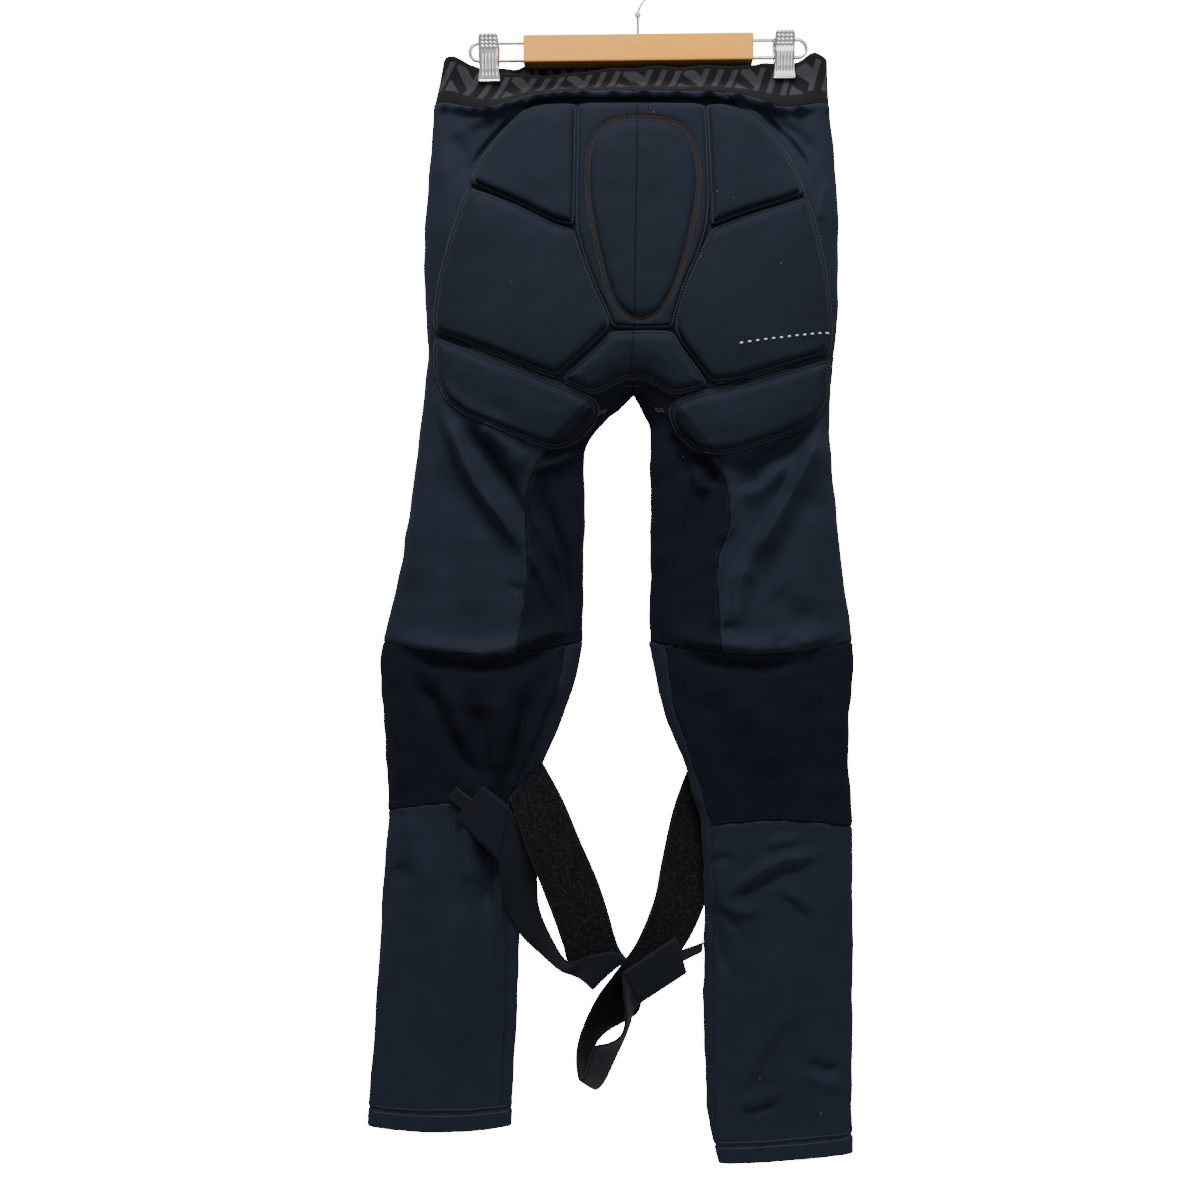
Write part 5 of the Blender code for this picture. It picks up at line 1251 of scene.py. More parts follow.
def bridge(sizes, rings):
    """Quads from each ring to the next. A ring is one loop, or two with a hole."""
    faces, whole = [], sum(sizes)
    for low in range(0, whole * (rings - 1), whole):
        for start, size in zip((low, low + sizes[0]), sizes):
            for j in range(size):
                one, other = start + j, start + (j + 1) % size
                faces.append((one, other, other + whole, one + whole))
    return faces


def face_height(edge, edge_height, points, seed):
    """Heights of a pad's face: level with its edge beside it, and a little crowned."""
    away = away_from(edge, points)
    nearest = np.argmin(((points[:, None] - edge[None]) ** 2).sum(axis=-1), axis=1)
    top, height = edge_height.max(), edge_height[nearest]
    height = height + (top - height) * ease(away / 0.010) + PAD_CROWN * ease(away / 0.018)
    height = height + PAD_RUMPLE * ripple(points[:, 0], points[:, 1], 0.035, seed)
    return height + PAD_RUMPLE * 0.35 * ripple(points[:, 0], points[:, 1], 0.013, seed + 1)


def pad_form(name, profile, seed, hole_name):
    """Flat points, heights and faces of a whole pad: its side, its face and its base."""
    rings, sizes = pad_rings(name, profile, hole_name)
    points = []
    for flat, height in rings:
        wave = ripple(flat[:, 0], flat[:, 1], 0.035, seed)
        points.append((flat, height + PAD_RUMPLE * (height / 0.010) * wave))
    faces, whole = bridge(sizes, len(rings)), sum(sizes)
    count = whole * len(rings)
    for level, spacing in ((len(rings) - 1, FACE_SPACING), (0, BASE_SPACING)):
        flat, edge_height = points[level]
        hole = flat[sizes[0]:] if hole_name else None
        filled, triangles = fill_loop(flat[: sizes[0]], hole, spacing)
        new = filled[whole:]
        height = face_height(flat, edge_height, new, seed) if level else np.full(len(new), -0.0001)
        faces += [tuple(i + level * whole if i < whole else i - whole + count for i in face)
                  for face in triangles.tolist()]
        points.append((new, height))
        count += len(new)
    return [np.concatenate(parts) for parts in zip(*points)], faces


def make_pad(name, profile, seed, material, hole_name=None):
    """A foam pad on the seat cloth, with a hole where it is a ring."""
    (flat, height), faces = pad_form(name, profile, seed, hole_name)
    solid = near_cloth(flat[:, 0] / HALF_HIP, -flat[:, 1] / TIGHTS_LENGTH)
    solid[:, 1] -= height
    mesh = bpy.data.meshes.new(name)
    mesh.from_pydata(solid.tolist(), [], faces)
    shaped = bmesh.new()
    shaped.from_mesh(mesh)
    bmesh.ops.recalc_face_normals(shaped, faces=shaped.faces)
    shaped.to_mesh(mesh)
    shaped.free()
    mesh.polygons.foreach_set("use_smooth", np.ones(len(mesh.polygons), bool))
    corner_points = np.empty(len(mesh.loops), np.int32)
    mesh.loops.foreach_get("vertex_index", corner_points)
    layer = mesh.uv_layers.new(name="cloth")
    layer.data.foreach_set("uv", np.ascontiguousarray(flat[corner_points]).ravel())
    set_cover(mesh, mesh_cover(name, solid))
    piece = new_piece(name + "_foam", mesh, [material])
    onto_body(piece)
    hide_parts(name)
    print(f"{name}: {len(mesh.polygons)} faces")


# The inner ends of the thigh pads have a mesh cover: a line (x, z) that it starts from
COVER_LINES = {
    "pad_thigh_left": ((-0.0411, -0.3971), (-0.0751, -0.4311), 1.0),
    "pad_thigh_right": ((0.0321, -0.4013), (0.0653, -0.4413), -1.0),
}


def mesh_cover(name, points):
    """How far each point lies inside the mesh cover, in metres."""
    if name not in COVER_LINES:
        return np.full(len(points), -1.0)
    (ax, az), (bx, bz), sign = COVER_LINES[name]
    length = math.hypot(bx - ax, bz - az)
    return sign * ((points[:, 0] - ax) * (bz - az) - (points[:, 2] - az) * (bx - ax)) / -length


# %% The nine pads
PROFILES = {"pad_centre": LOW_SIDE, "pad_tailbone": OVAL_SIDE}
for seed, name in enumerate(PAD_OUTLINES, start=300):
    make_pad(
        name, PROFILES.get(name, PAD_SIDE), seed * 3,
        thigh_pad_cloth if name in COVER_LINES else pad_cloth,
        hole_name="pad_tailbone" if name == "pad_centre" else None,
    )

# %% [markdown]
# ## Stitches
# The sewn channels between the pads are the main pattern of this garment. Each channel has
# two rows of light thread. A drawn line would look printed, so every stitch is a small
# spindle of thread of its own, all joined in one mesh.

# %% Thread
def thread_material(name, colour):
    return worn_material(name, colour, 0.7, patch=0.02, sheen=0.1)[0]


thread_light = thread_material("thread_light", (0.075, 0.077, 0.082))
thread_brown = thread_material("thread_brown", (0.060, 0.047, 0.042))
thread_dark = thread_material("thread_dark", (0.014, 0.017, 0.022))
thread_black = thread_material("thread_black", (0.003, 0.003, 0.004))


# %% Spindles of thread along lines on the cloth
STITCH_SHARE = 0.78  # of the way from one stitch to the next
SPINDLE = ((0.0, 0.25), (0.25, 1.0), (0.75, 1.0), (1.0, 0.25))  # (way along, thickness)


def along_line(points, spacing):
    """Start and end points of stitches along a line of points in space."""
    way = way_along(points)
    starts = np.arange(0.0, way[-1] - spacing, spacing)
    pick = [np.stack([np.interp(at, way, points[:, k]) for k in range(3)], axis=1)
            for at in (starts, starts + spacing * STITCH_SHARE)]
    return pick[0], pick[1]


def stitch_mesh(name, lines, material, spacing=0.0028, thick=0.00050):
    """One mesh of all stitches along these lines. Each line is points near the cloth."""
    spindles = []
    for points in lines:
        if len(points) > 2:
            spindles.append(np.stack(along_line(points, spacing), axis=1))
    ends = np.concatenate(spindles)
    along = ends[:, 1] - ends[:, 0]
    along /= np.linalg.norm(along, axis=1, keepdims=True)
    out = np.array([0.0, -1.0, 0.0]) - along * (-along[:, 1:2])
    out /= np.linalg.norm(out, axis=1, keepdims=True)
    aside = np.cross(along, out)
    points = []
    for share, size in SPINDLE:
        middle = ends[:, 0] + (ends[:, 1] - ends[:, 0]) * share
        for turn in range(4):
            angle = turn * math.pi / 2 + math.pi / 4
            reach = thick / 2 * size * 1.2
            points.append(middle + aside * math.cos(angle) * reach
                          + out * math.sin(angle) * reach)
    block = np.stack(points, axis=1)
    pattern = []
    for ring in range(3):
        for turn in range(4):
            one, other = ring * 4 + turn, ring * 4 + (turn + 1) % 4
            pattern.append((one, other, other + 4, one + 4))
    pattern += [(3, 2, 1, 0), (12, 13, 14, 15)]
    faces = (np.array(pattern)[None] + np.arange(len(block))[:, None, None] * 16).reshape(-1, 4)
    mesh = bpy.data.meshes.new(name)
    mesh.from_pydata(block.reshape(-1, 3).tolist(), [], faces.tolist())
    mesh.polygons.foreach_set("use_smooth", np.ones(len(faces), bool))
    onto_body(new_piece(name, mesh, [material]))
    print(f"{name}: {len(block)} stitches")


def catmull(points, steps):
    """A smooth line through the points."""
    line, last = [], len(points) - 1
    for i in range(last):
        p0, p1, p2, p3 = points[max(i - 1, 0)], points[i], points[i + 1], points[min(i + 2, last)]
        for t in np.arange(steps) / steps:
            line.append(0.5 * (2 * p1 + (p2 - p0) * t + (2 * p0 - 5 * p1 + 4 * p2 - p3) * t**2
                               + (3 * p1 - 3 * p2 + p3 - p0) * t**3))
    line.append(points[-1])
    return np.array(line)


def front_tree():
    """A search tree of every cloth and pad face, to lay thread on what shows in front."""
    points, faces, count = [], [], 0
    for piece in scene.objects:
        if piece.name.endswith(("_cloth", "_foam")):
            mesh = piece.data
            flat = np.empty(len(mesh.vertices) * 3)
            mesh.vertices.foreach_get("co", flat)
            points.append(flat.reshape(-1, 3))
            faces += [tuple(count + i for i in face.vertices) for face in mesh.polygons]
            count += len(mesh.vertices)
    return BVHTree.FromPolygons(np.concatenate(points).tolist(), faces)


def on_front(spots, lift=0.0002):
    """Where lines straight back from the viewer's side meet the front at these (x, z)."""
    laid, last = [], 0.0
    for x, z in spots:
        hit = front.ray_cast(Vector((x, -0.3, z)), Vector((0.0, 1.0, 0.0)))[0]
        last = hit.y - lift if hit else last
        laid.append((x, last, z))
    return np.array(laid)


def on_seat(flat, lift=0.0002):
    """The same for points on the flat cloth."""
    laid = near_cloth(flat[:, 0] / HALF_HIP, -flat[:, 1] / TIGHTS_LENGTH)
    return on_front(laid[:, [0, 2]], lift)


def runs(points, keep):
    """The stretches of a closed line that are kept."""
    if keep.all():
        return [np.vstack([points, points[:1]])]
    start = int(np.argmin(keep))
    points, keep = np.roll(points, -start, axis=0), np.roll(keep, -start)
    cuts = np.flatnonzero(np.diff(keep.astype(int))) + 1
    return [part for part, kept in zip(np.split(points, cuts), np.split(keep, cuts)) if kept[0]]


# %% Twin rows in every channel
front = front_tree()
STITCH_OFFSET, OVAL_SHIFTS = 0.0015, (-0.0019, -0.0007, 0.0006, 0.0018)
channel_lines, oval_lines = [], []
for name in PAD_OUTLINES:
    loop = pad_loop(name)
    if name == "pad_tailbone":
        for distance in OVAL_SHIFTS:
            ring = inset(loop, distance)
            oval_lines.append(on_seat(np.vstack([ring, ring[:1]])))
        continue
    every, free = np.ones(len(loop), bool), free_edge(name, loop) > 0.8
    for distance, keep in ((STITCH_OFFSET, every), (-STITCH_OFFSET, free)):
        channel_lines += [on_seat(run) for run in runs(inset(loop, distance), keep)]
stitch_mesh("channel_stitches", channel_lines, thread_light)
stitch_mesh("oval_stitches", oval_lines, thread_brown, spacing=0.0022, thick=0.0008)

# %% Seams of the legs: thread along both sides, from the knees to the hems
SEAM_SHIFTS, HEM_SHIFTS, EDGE_GAP = (-0.0022, 0.0022), (-0.0030, 0.0022), 0.02


def seam_line(side, table, top, bottom, shift):
    """A line beside a seam that runs down a leg."""
    drops, outs = zip(*table[side])
    down = np.arange(top, bottom, 0.0025)
    out = np.interp(down, drops, outs) + shift / HALF_HIP
    return near_cloth(SIGN[side] * out, down)


def level_line(side, drop, first, last):
    """A line beside a seam that runs round a leg, between two distances out."""
    return near_cloth(SIGN[side] * np.linspace(first, last, 80), np.full(80, drop))


def on_leg(line):
    return on_front(line[:, [0, 2]])


def ends_at(side, drop):
    """How far out a line round a leg starts and ends, a little short of its edges."""
    inner, outer = at_level(side + "_inner", drop), at_level(side + "_outer", drop)
    return float(inner) + EDGE_GAP, float(outer) - EDGE_GAP


leg_lines, hem_lines = [], []
for side in SIGN:
    knee_bottom, hem_top = KNEE_BOTTOM_DROP[side], HEM_TOP_DROP[side]
    for shift in SEAM_SHIFTS:
        strip = seam_line(side, STRIP_SEAM, KNEE_TOP_DROP, hem_top - 0.004, shift)
        leg_lines.append(on_leg(strip))
        start = THIGH_SEAM[side][0][0] + 0.006
        leg_lines.append(on_leg(seam_line(side, THIGH_SEAM, start, KNEE_TOP_DROP, shift)))
        for drop in (KNEE_TOP_DROP, knee_bottom):
            inner, outer = ends_at(side, drop)
            if drop == knee_bottom:
                inner = float(np.interp(drop, *zip(*STRIP_SEAM[side])))
            leg_lines.append(on_leg(level_line(side, drop + shift / TIGHTS_LENGTH, inner, outer)))
    inner, outer = ends_at(side, hem_top)
    for shift in HEM_SHIFTS:
        hem_lines.append(on_leg(level_line(side, hem_top + shift / TIGHTS_LENGTH, inner, outer)))
stitch_mesh("leg_stitches", leg_lines, thread_dark)
stitch_mesh("hem_stitches", hem_lines, thread_light, spacing=0.0024)

# %% Bar tacks that hold the thigh pads' inner ends, and the crossed seams of the gusset
TACKS = ((-0.0303, -0.4063, 0.55), (0.0184, -0.4050, -0.45))  # (x, z, slant)
TACK_REACH, TACK_HALF = 0.0032, 0.0022
tacks = []
for x, z, slant in TACKS:
    for step in np.linspace(-TACK_REACH, TACK_REACH, 8):
        line = np.array([
            (x + step + TACK_HALF * s * slant, z + step * slant * 0.6 + TACK_HALF * s)
            for s in np.linspace(-1, 1, 6)
        ])
        tacks.append(on_front(line))
tacks.append(on_front(np.stack([np.linspace(-0.0125, 0.0030, 9), np.full(9, -0.3845)], axis=1)))
stitch_mesh("bar_tacks", tacks, thread_light, spacing=0.0022, thick=0.0006)

# %% The thin dark seam down the middle of the seat
CENTRE_SEAM = np.array([(-0.0010, -0.148), (-0.0016, -0.200), (-0.0030, -0.260),
                        (-0.0036, -0.335), (-0.0070, -0.378)])
down = np.linspace(CENTRE_SEAM[0, 1], CENTRE_SEAM[-1, 1], 180)
across = np.interp(-down, -CENTRE_SEAM[:, 1], CENTRE_SEAM[:, 0])
centre_seam = on_front(np.stack([across, down], axis=1), 0.00005)
THIGH_DARTS = (
    ((-0.0816, -0.4740), (-0.0770, -0.4956), (-0.0723, -0.5236), (-0.0676, -0.5422),
     (-0.0630, -0.5733), (-0.0599, -0.5981)),
    ((0.0481, -0.4705), (0.0458, -0.4785), (0.0381, -0.5111), (0.0303, -0.5422),
     (0.0241, -0.5779), (0.0217, -0.6013)),
)
dark_seams, dart_rows = [centre_seam], []
for dart in THIGH_DARTS:
    line = catmull(np.array(dart), 12)
    dark_seams.append(on_front(line, 0.0001))
    dart_rows.append(on_front(line + np.array([0.0012, 0.0])))
stitch_mesh("dart_stitches", dart_rows, thread_dark)
stitch_mesh("centre_seam", dark_seams, thread_black, spacing=0.0012, thick=0.0010)

# %% [markdown]
# Between the legs hangs a small wrinkled gusset of the same mesh. It is sewn behind both
# thighs, so here it is a short sheet across the fork, lowest at its two sides.

# %% The gusset
GUSSET_EDGE = ((-0.0300, -0.4130), (-0.0169, -0.4042), (-0.0100, -0.3965), (-0.0030, -0.3910),
               (0.0020, -0.3965), (0.0057, -0.4042), (0.0140, -0.4120))
GUSSET_TOP, GUSSET_Y, GUSSET_WALL, GUSSET_WRINKLE = -0.3740, -0.0075, 0.0012, 0.0012
across = np.linspace(GUSSET_EDGE[0][0], GUSSET_EDGE[-1][0], 45)
lower = np.interp(across, *zip(*GUSSET_EDGE))
z = GUSSET_TOP + (lower - GUSSET_TOP) * np.linspace(0.0, 1.0, 15)[:, None]
x = across + 0 * z
wrinkled = np.stack([x, GUSSET_Y + GUSSET_WRINKLE * ripple(x, z, 0.007, 47), z], axis=-1)
gusset = grid_mesh("gusset_cloth", wrinkled, [open_mesh], wrinkled[..., [0, 2]])
thicken(gusset, GUSSET_WALL, offset=0.0)
onto_body(gusset)
declare_cloth(gusset, wrinkled)

# %% A row of small white dashes on the right seat pad
DASH_X, DASH_END_X, DASH_Z = 0.0845, 0.1620, -0.3535
DASH_PITCH, DASH_SLOPE = 0.0068, 0.155
DASH = (0.0042, 0.00065)
white_mark, tree, shader = new_material("white_mark", 0.6)
space, _ = places(tree)
grainy = maths(tree, "MULTIPLY_ADD", noise(tree, space, FINE_SCALE), 0.4, 0.8)
tree.links.new(scale_colour(tree, (0.75, 0.76, 0.77), grainy), shader.inputs["Base Color"])
marks, steps = [], np.linspace(0, 1, 4)[:, None]
for x in np.arange(DASH_X, DASH_END_X, DASH_PITCH):
    z = DASH_Z + (x - DASH_X) * DASH_SLOPE
    ends = np.array([(x, z), (x + DASH[0], z + DASH[1])])
    marks.append(on_front(ends[0] + (ends[1] - ends[0]) * steps, 0.0001))
stitch_mesh("white_dashes", marks, white_mark, spacing=0.0040, thick=0.0016)

# %% [markdown]
# ## Waistband
# The waistband is a wide knitted elastic, woven in fine ribs, with a pattern in its upper
# two thirds. The clips press its two layers flat, and between them it opens. It is one ring
# of fine points, between the same waist seam and top edge as the solid. The pattern is a
# plain row of slanted bars and wedges in two greys.

# %% The band's edges
BAND_HEIGHT = 0.042
BAND_WALL = 0.0018
BAND_FLAT_Y = BAND_WALL + 0.0002
BAND_LOBE_DEPTH, BAND_MID_NEAR, BAND_MID_FAR = 0.0105, 0.0055, 0.0100
BAND_TOPS = (
    (-0.96, 0.90, 0.90), (-0.88, 1.00, 0.98), (-0.78, 0.85, 0.88), (-0.72, 0.76, 0.80),
    (-0.58, 0.66, 0.82), (-0.50, 0.62, 0.97), (-0.44, 0.60, 0.99), (-0.30, 0.64, 0.99),
    (-0.14, 0.73, 0.99), (0.00, 0.78, 0.98), (0.50, 0.80, 0.96), (0.58, 0.82, 0.86),
    (0.65, 0.90, 0.90), (0.73, 0.87, 0.87),
    (0.80, 0.91, 0.91), (0.88, 1.09, 1.04), (0.96, 0.95, 0.95),
)
BAND_TOP_OUTER = {"left": 0.915, "right": 0.950}
PRESSED_HALF, PRESSED_REACH, PRESSED_RISE = 0.0118, 0.013, 0.62  # what the clips press flat
BAND_WAVE, BAND_RUMPLE = 0.0007, 0.0006


def band_run(side, shares, far, rises):
    """The outer face of one layer on one side, a row for each share of the height."""
    out = shares * float(edges_of(side, 0.0)[0])
    depth = float(at_level("far" if far else "near", 0.0)) * HANG_DEPTH
    round_off = (1 - shares**SECTION_ROUNDNESS) ** (1 / SECTION_ROUNDNESS)
    low_y = SIDE_Y + (1 if far else -1) * depth * round_off * (1 - pinch(side, out, 0.0))
    low_x = CENTRE_X + SIGN[side] * out
    low_z = height_of(side, out, 0.0, 0.0 if far else 1.0) + SEAM_GAP / 2
    top_out = shares * BAND_TOP_OUTER[side] * HALF_HIP
    across, near_tops, far_tops = zip(*BAND_TOPS)
    tops = far_tops if far else near_tops
    signed = SIGN[side] * top_out / HALF_HIP
    high_z = WAIST_Z + BAND_HEIGHT * smooth_curve(np.array(across), np.array(tops), signed)
    high_x = CENTRE_X + SIGN[side] * top_out
    middle = BAND_MID_FAR if far else BAND_MID_NEAR
    lobe = BAND_LOBE_DEPTH * (1 - np.minimum(shares, 1) ** 3) ** (1 / 3)
    depth = np.where(top_out > CLIP_OUT[side], lobe, middle)
    beside = np.maximum(np.abs(top_out - CLIP_OUT[side]) - PRESSED_HALF, 0.0)
    shut = hill(beside, PRESSED_REACH)
    high_y = (1 if far else -1) * (depth + (BAND_FLAT_Y - depth) * shut)
    rows = []
    for rise in rises:
        bend = ease(rise / PRESSED_RISE)
        x = low_x + (high_x - low_x) * rise
        y = low_y + (high_y - low_y) * bend
        z = low_z + (high_z - low_z) * rise
        loose = 1 - shut * bend
        wave = BAND_WAVE * loose * ripple(x, z * 0.4, 0.030, 51 if far else 52)
        z = z + BAND_RUMPLE * rise * loose * ripple(x, 0 * x, 0.04, 53)
        rows.append(np.stack([x, y + wave * rise, z], axis=-1))
    return np.stack(rows)


# %% The band's cloth: ribs, and a pattern of bars and wedges
band_cloth, tree, shader = new_material("band_elastic", 0.85, sheen=0.05)
space, cloth = places(tree)
worn = use_group(tree, worn_cloth, Place=space, Patch_Size=0.04, Lint=1.0)
knit = use_group(tree, knit_relief, Cloth=cloth, Loop_Width=0.0016, Loop_Height=0.0011)
along, up, _ = axes_of(tree, cloth)
BAR_PITCH, BAR_SLANT, BAR_SHARE = 0.0125, 0.35, 0.42
WEDGE_SLANT, BLOCK_BARS, WEDGES_FROM = 0.9, 4, 0.66
PATTERN_LOW, PATTERN_HIGH = 0.30 * BAND_HEIGHT, 0.90 * BAND_HEIGHT
BAND_DARK, BAND_LIGHT = (0.0072, 0.0064, 0.0078), (0.037, 0.035, 0.040)


def repeat(slant, pitch):
    """How far along its own stretch each point lies, in stretches that lean by slant."""
    leaning = maths(tree, "MULTIPLY_ADD", up, slant, along)
    return maths(tree, "FRACT", maths(tree, "DIVIDE", leaning, pitch))


bars = maths(tree, "LESS_THAN", repeat(-BAR_SLANT, BAR_PITCH), BAR_SHARE)
wedges = maths(tree, "LESS_THAN", repeat(WEDGE_SLANT, BAR_PITCH * 2), 0.5)
in_wedges = maths(tree, "GREATER_THAN", repeat(-BAR_SLANT, BAR_PITCH * BLOCK_BARS), WEDGES_FROM)
in_bars = maths(tree, "SUBTRACT", 1.0, in_wedges)
pattern = maths(tree, "ADD", maths(tree, "MULTIPLY", bars, in_bars),
                maths(tree, "MULTIPLY", wedges, in_wedges))
in_rows = maths(tree, "MULTIPLY", maths(tree, "GREATER_THAN", up, PATTERN_LOW),
                maths(tree, "LESS_THAN", up, PATTERN_HIGH))
pattern = maths(tree, "MULTIPLY", pattern, in_rows)
figure = blend_colours(tree, pattern, BAND_DARK, BAND_LIGHT)
figure = scale_colour(tree, figure, worn.outputs["Shade"])
figure = blend_colours(tree, worn.outputs["Specks"], figure, LINT_COLOUR)
tree.links.new(figure, shader.inputs["Base Color"])
add_bump(tree, shader, knit.outputs["Height"], 0.0003)

# %% The band itself
rises = np.linspace(0.0, 1.0, 19)
near_shares, far_shares = np.linspace(0.002, 1.0, 96), np.linspace(0.002, 1.0, 64)
ring = np.concatenate([
    band_run("right", near_shares, False, rises),
    band_run("right", far_shares[:-1], True, rises)[:, ::-1],
    band_run("left", far_shares, True, rises),
    band_run("left", near_shares[:-1], False, rises)[:, ::-1],
], axis=1)
steps = np.linalg.norm(np.roll(ring, -1, axis=1) - ring, axis=-1).mean(axis=0)
ways = np.concatenate([[0.0], np.cumsum(steps)])
uv = np.stack(np.meshgrid(ways, rises * BAND_HEIGHT), axis=-1)
waistband = grid_mesh("waistband_cloth", ring, [band_cloth], uv, closed=True,
                      centre=(CENTRE_X, -0.002, 0.0))
thicken(waistband, BAND_WALL)
onto_body(waistband)
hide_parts("waistband")
declare_cloth(waistband, ring, closed=True)

# %% [markdown]
# ## Straps
# A hook-and-pile strap is sewn below each knee. One side is a furry pile, the other a smooth
# webbing, and both show because the straps twist. Each is a ribbon lofted through the same
# stations as the solid, with a material for each side.

# %% Where the straps run: the two edges of each strap (across, drop, depth)
STRAP_STATIONS = {
    "left": (
        (-0.332, 0.658, -0.30, -0.515, 0.692, -0.58),
        (-0.250, 0.694, -0.40, -0.440, 0.731, -0.56),
        (-0.165, 0.731, -0.46, -0.372, 0.766, -0.54),
        (-0.117, 0.759, -0.50, -0.332, 0.789, -0.52),
        (-0.070, 0.790, -0.52, -0.300, 0.808, -0.50),
        (-0.030, 0.801, -0.60, -0.200, 0.828, -0.60),
        (-0.095, 0.793, -0.69, -0.205, 0.824, -0.68),
        (-0.211, 0.797, -0.70, -0.263, 0.818, -0.60),
        (-0.310, 0.803, -0.63, -0.346, 0.817, -0.30),
        (-0.403, 0.780, -0.37, -0.441, 0.806, -0.07),
        (-0.450, 0.757, -0.27, -0.536, 0.787, -0.14),
        (-0.457, 0.729, -0.25, -0.608, 0.757, -0.30),
        (-0.488, 0.694, -0.36, -0.625, 0.733, -0.42),
        (-0.590, 0.662, -0.45, -0.636, 0.7125, -0.46),
    ),
    "right": (
        (0.200, 0.672, 0.06, 0.385, 0.704, 0.20),
        (0.142, 0.722, 0.00, 0.375, 0.738, 0.12),
        (0.106, 0.755, -0.08, 0.352, 0.762, 0.04),
        (0.023, 0.793, -0.15, 0.265, 0.795, -0.10),
        (-0.083, 0.821, -0.23, 0.142, 0.822, -0.20),
        (-0.160, 0.841, -0.25, 0.055, 0.845, -0.20),
        (-0.212, 0.860, -0.26, 0.018, 0.862, -0.12),
        (-0.248, 0.878, -0.30, -0.119, 0.881, 0.02),
        (-0.264, 0.892, -0.36, -0.179, 0.896, 0.08),
        (-0.263, 0.905, -0.44, -0.197, 0.916, 0.08),
        (-0.249, 0.914, -0.54, -0.184, 0.935, -0.02),
        (-0.221, 0.906, -0.64, -0.145, 0.928, -0.14),
        (-0.201, 0.892, -0.70, -0.108, 0.913, -0.20),
        (-0.179, 0.879, -0.74, -0.076, 0.898, -0.24),
        (-0.111, 0.875, -0.76, -0.042, 0.883, -0.26),
        (-0.055, 0.867, -0.78, -0.014, 0.869, -0.26),
        (-0.034, 0.851, -0.79, -0.001, 0.858, -0.26),
        (-0.041, 0.831, -0.74, 0.008, 0.852, -0.30),
        (-0.047, 0.813, -0.66, 0.037, 0.845, -0.40),
    ),
}
STRAP_ROOTS = {
    "left": (0.445, 0.622, 0.590, 0.657, False),
    "right": (0.275, 0.634, 0.375, 0.668, True),
}
STRAP_ENDS = {
    "left": ((-0.709, 0.643, -0.48), (-0.841, 0.673, -0.48)),
    "right": ((0.206, 0.784, -0.42), (0.258, 0.818, -0.36)),
}
PULL_TABS = {
    "left": (0.40, 0.74, (-0.835, 0.644, -0.49), (-0.879, 0.653, -0.49)),
    "right": (0.38, 0.68, (0.336, 0.789, -0.40), (0.330, 0.798, -0.40)),
}
STRAP_GAP = {"left": 0.0020, "right": 0.0012}
STRAP_WALL, STRAP_END_WALL, TAB_WALL = 0.0020, 0.0026, 0.0014
print("strap stations:", {side: len(rows) for side, rows in STRAP_STATIONS.items()})

# %% Pile and webbing
strap_pile, tree, shader = new_material("strap_pile", 0.95, sheen=0.06)
space, cloth = places(tree)
PILE_COLOUR, SELVEDGE_COLOUR = (0.0038, 0.0045, 0.0050), (0.0085, 0.0100, 0.0130)
TUFT_LIGHT, CLUMP_LIGHT = 30.0, 0.4
fluff = noise(tree, space, 520.0, 4.0, 0.7)
clumps = noise(tree, space, 130.0, 2.0, 0.5)
edge = maths(tree, "ABSOLUTE", maths(tree, "SUBTRACT", axes_of(tree, cloth)[0], 0.5))
selvedge = maths(tree, "GREATER_THAN", edge, 0.455)
tufts = maths(tree, "POWER", fluff, 5.0)
furry = maths(tree, "MULTIPLY", clumps, CLUMP_LIGHT)
furry = maths(tree, "MULTIPLY_ADD", tufts, TUFT_LIGHT, furry)
base = scale_colour(tree, PILE_COLOUR, furry)
base = blend_colours(tree, selvedge, base, SELVEDGE_COLOUR)
tree.links.new(base, shader.inputs["Base Color"])
add_bump(tree, shader, maths(tree, "ADD", fluff, clumps), 0.0008)

strap_smooth, tree, shader, space, _ = worn_material(
    "strap_smooth", (0.0062, 0.0084, 0.0140), 0.65, patch=0.03, sheen=0.05)
knit = use_group(tree, knit_relief, Cloth=space, Loop_Width=0.0012, Loop_Height=0.0012)
add_bump(tree, shader, knit.outputs["Height"], 0.0002)


# %% Ribbons
def place(across, drop, depth):
    """World position of a free point given in shares of the tights' sizes."""
    return np.array([CENTRE_X + across * HALF_HIP, depth * HANG_DEPTH,
                     WAIST_Z - drop * TIGHTS_LENGTH])


def sewn_point(side, across, drop, far, lift):
    turn = np.array([[turn_of(side, drop, across * HALF_HIP, far)]])
    grid = shell_grid(side, np.array([drop]), turn + np.array([[-0.004, 0.0, 0.004]]))[0]
    along = grid[2] - grid[0]
    normal = np.array([along[1], -along[0], 0.0]) * SIGN[side]
    return grid[1] + normal / np.linalg.norm(normal) * lift


def ribbon(name, one, other, wall, materials, arch, bow=None, columns=14):
    """A strip of cloth between two edges, with a front and a back finish."""
    shares = np.linspace(0.0, 1.0, columns)[None, :, None]
    points = one[:, None] + (other - one)[:, None] * shares
    if bow is not None:
        fade = np.maximum(1 - np.arange(len(one)) / (len(one) * 4 / 28), 0.0)
        points = points + bow * fade[:, None, None] * (4 * shares * (1 - shares))
    points = points + surface_normals(points) * arch * (4 * shares * (1 - shares))
    uv = np.stack(np.meshgrid(shares.ravel(), way_along(one)), axis=-1)
    piece = grid_mesh(name + "_cloth", points, materials, uv)
    solid = thicken(piece, wall, offset=0.0)
    if len(materials) > 1:
        solid.material_offset = 1
        solid.material_offset_rim = 0
    onto_body(piece)
    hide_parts(name)
    return piece, points


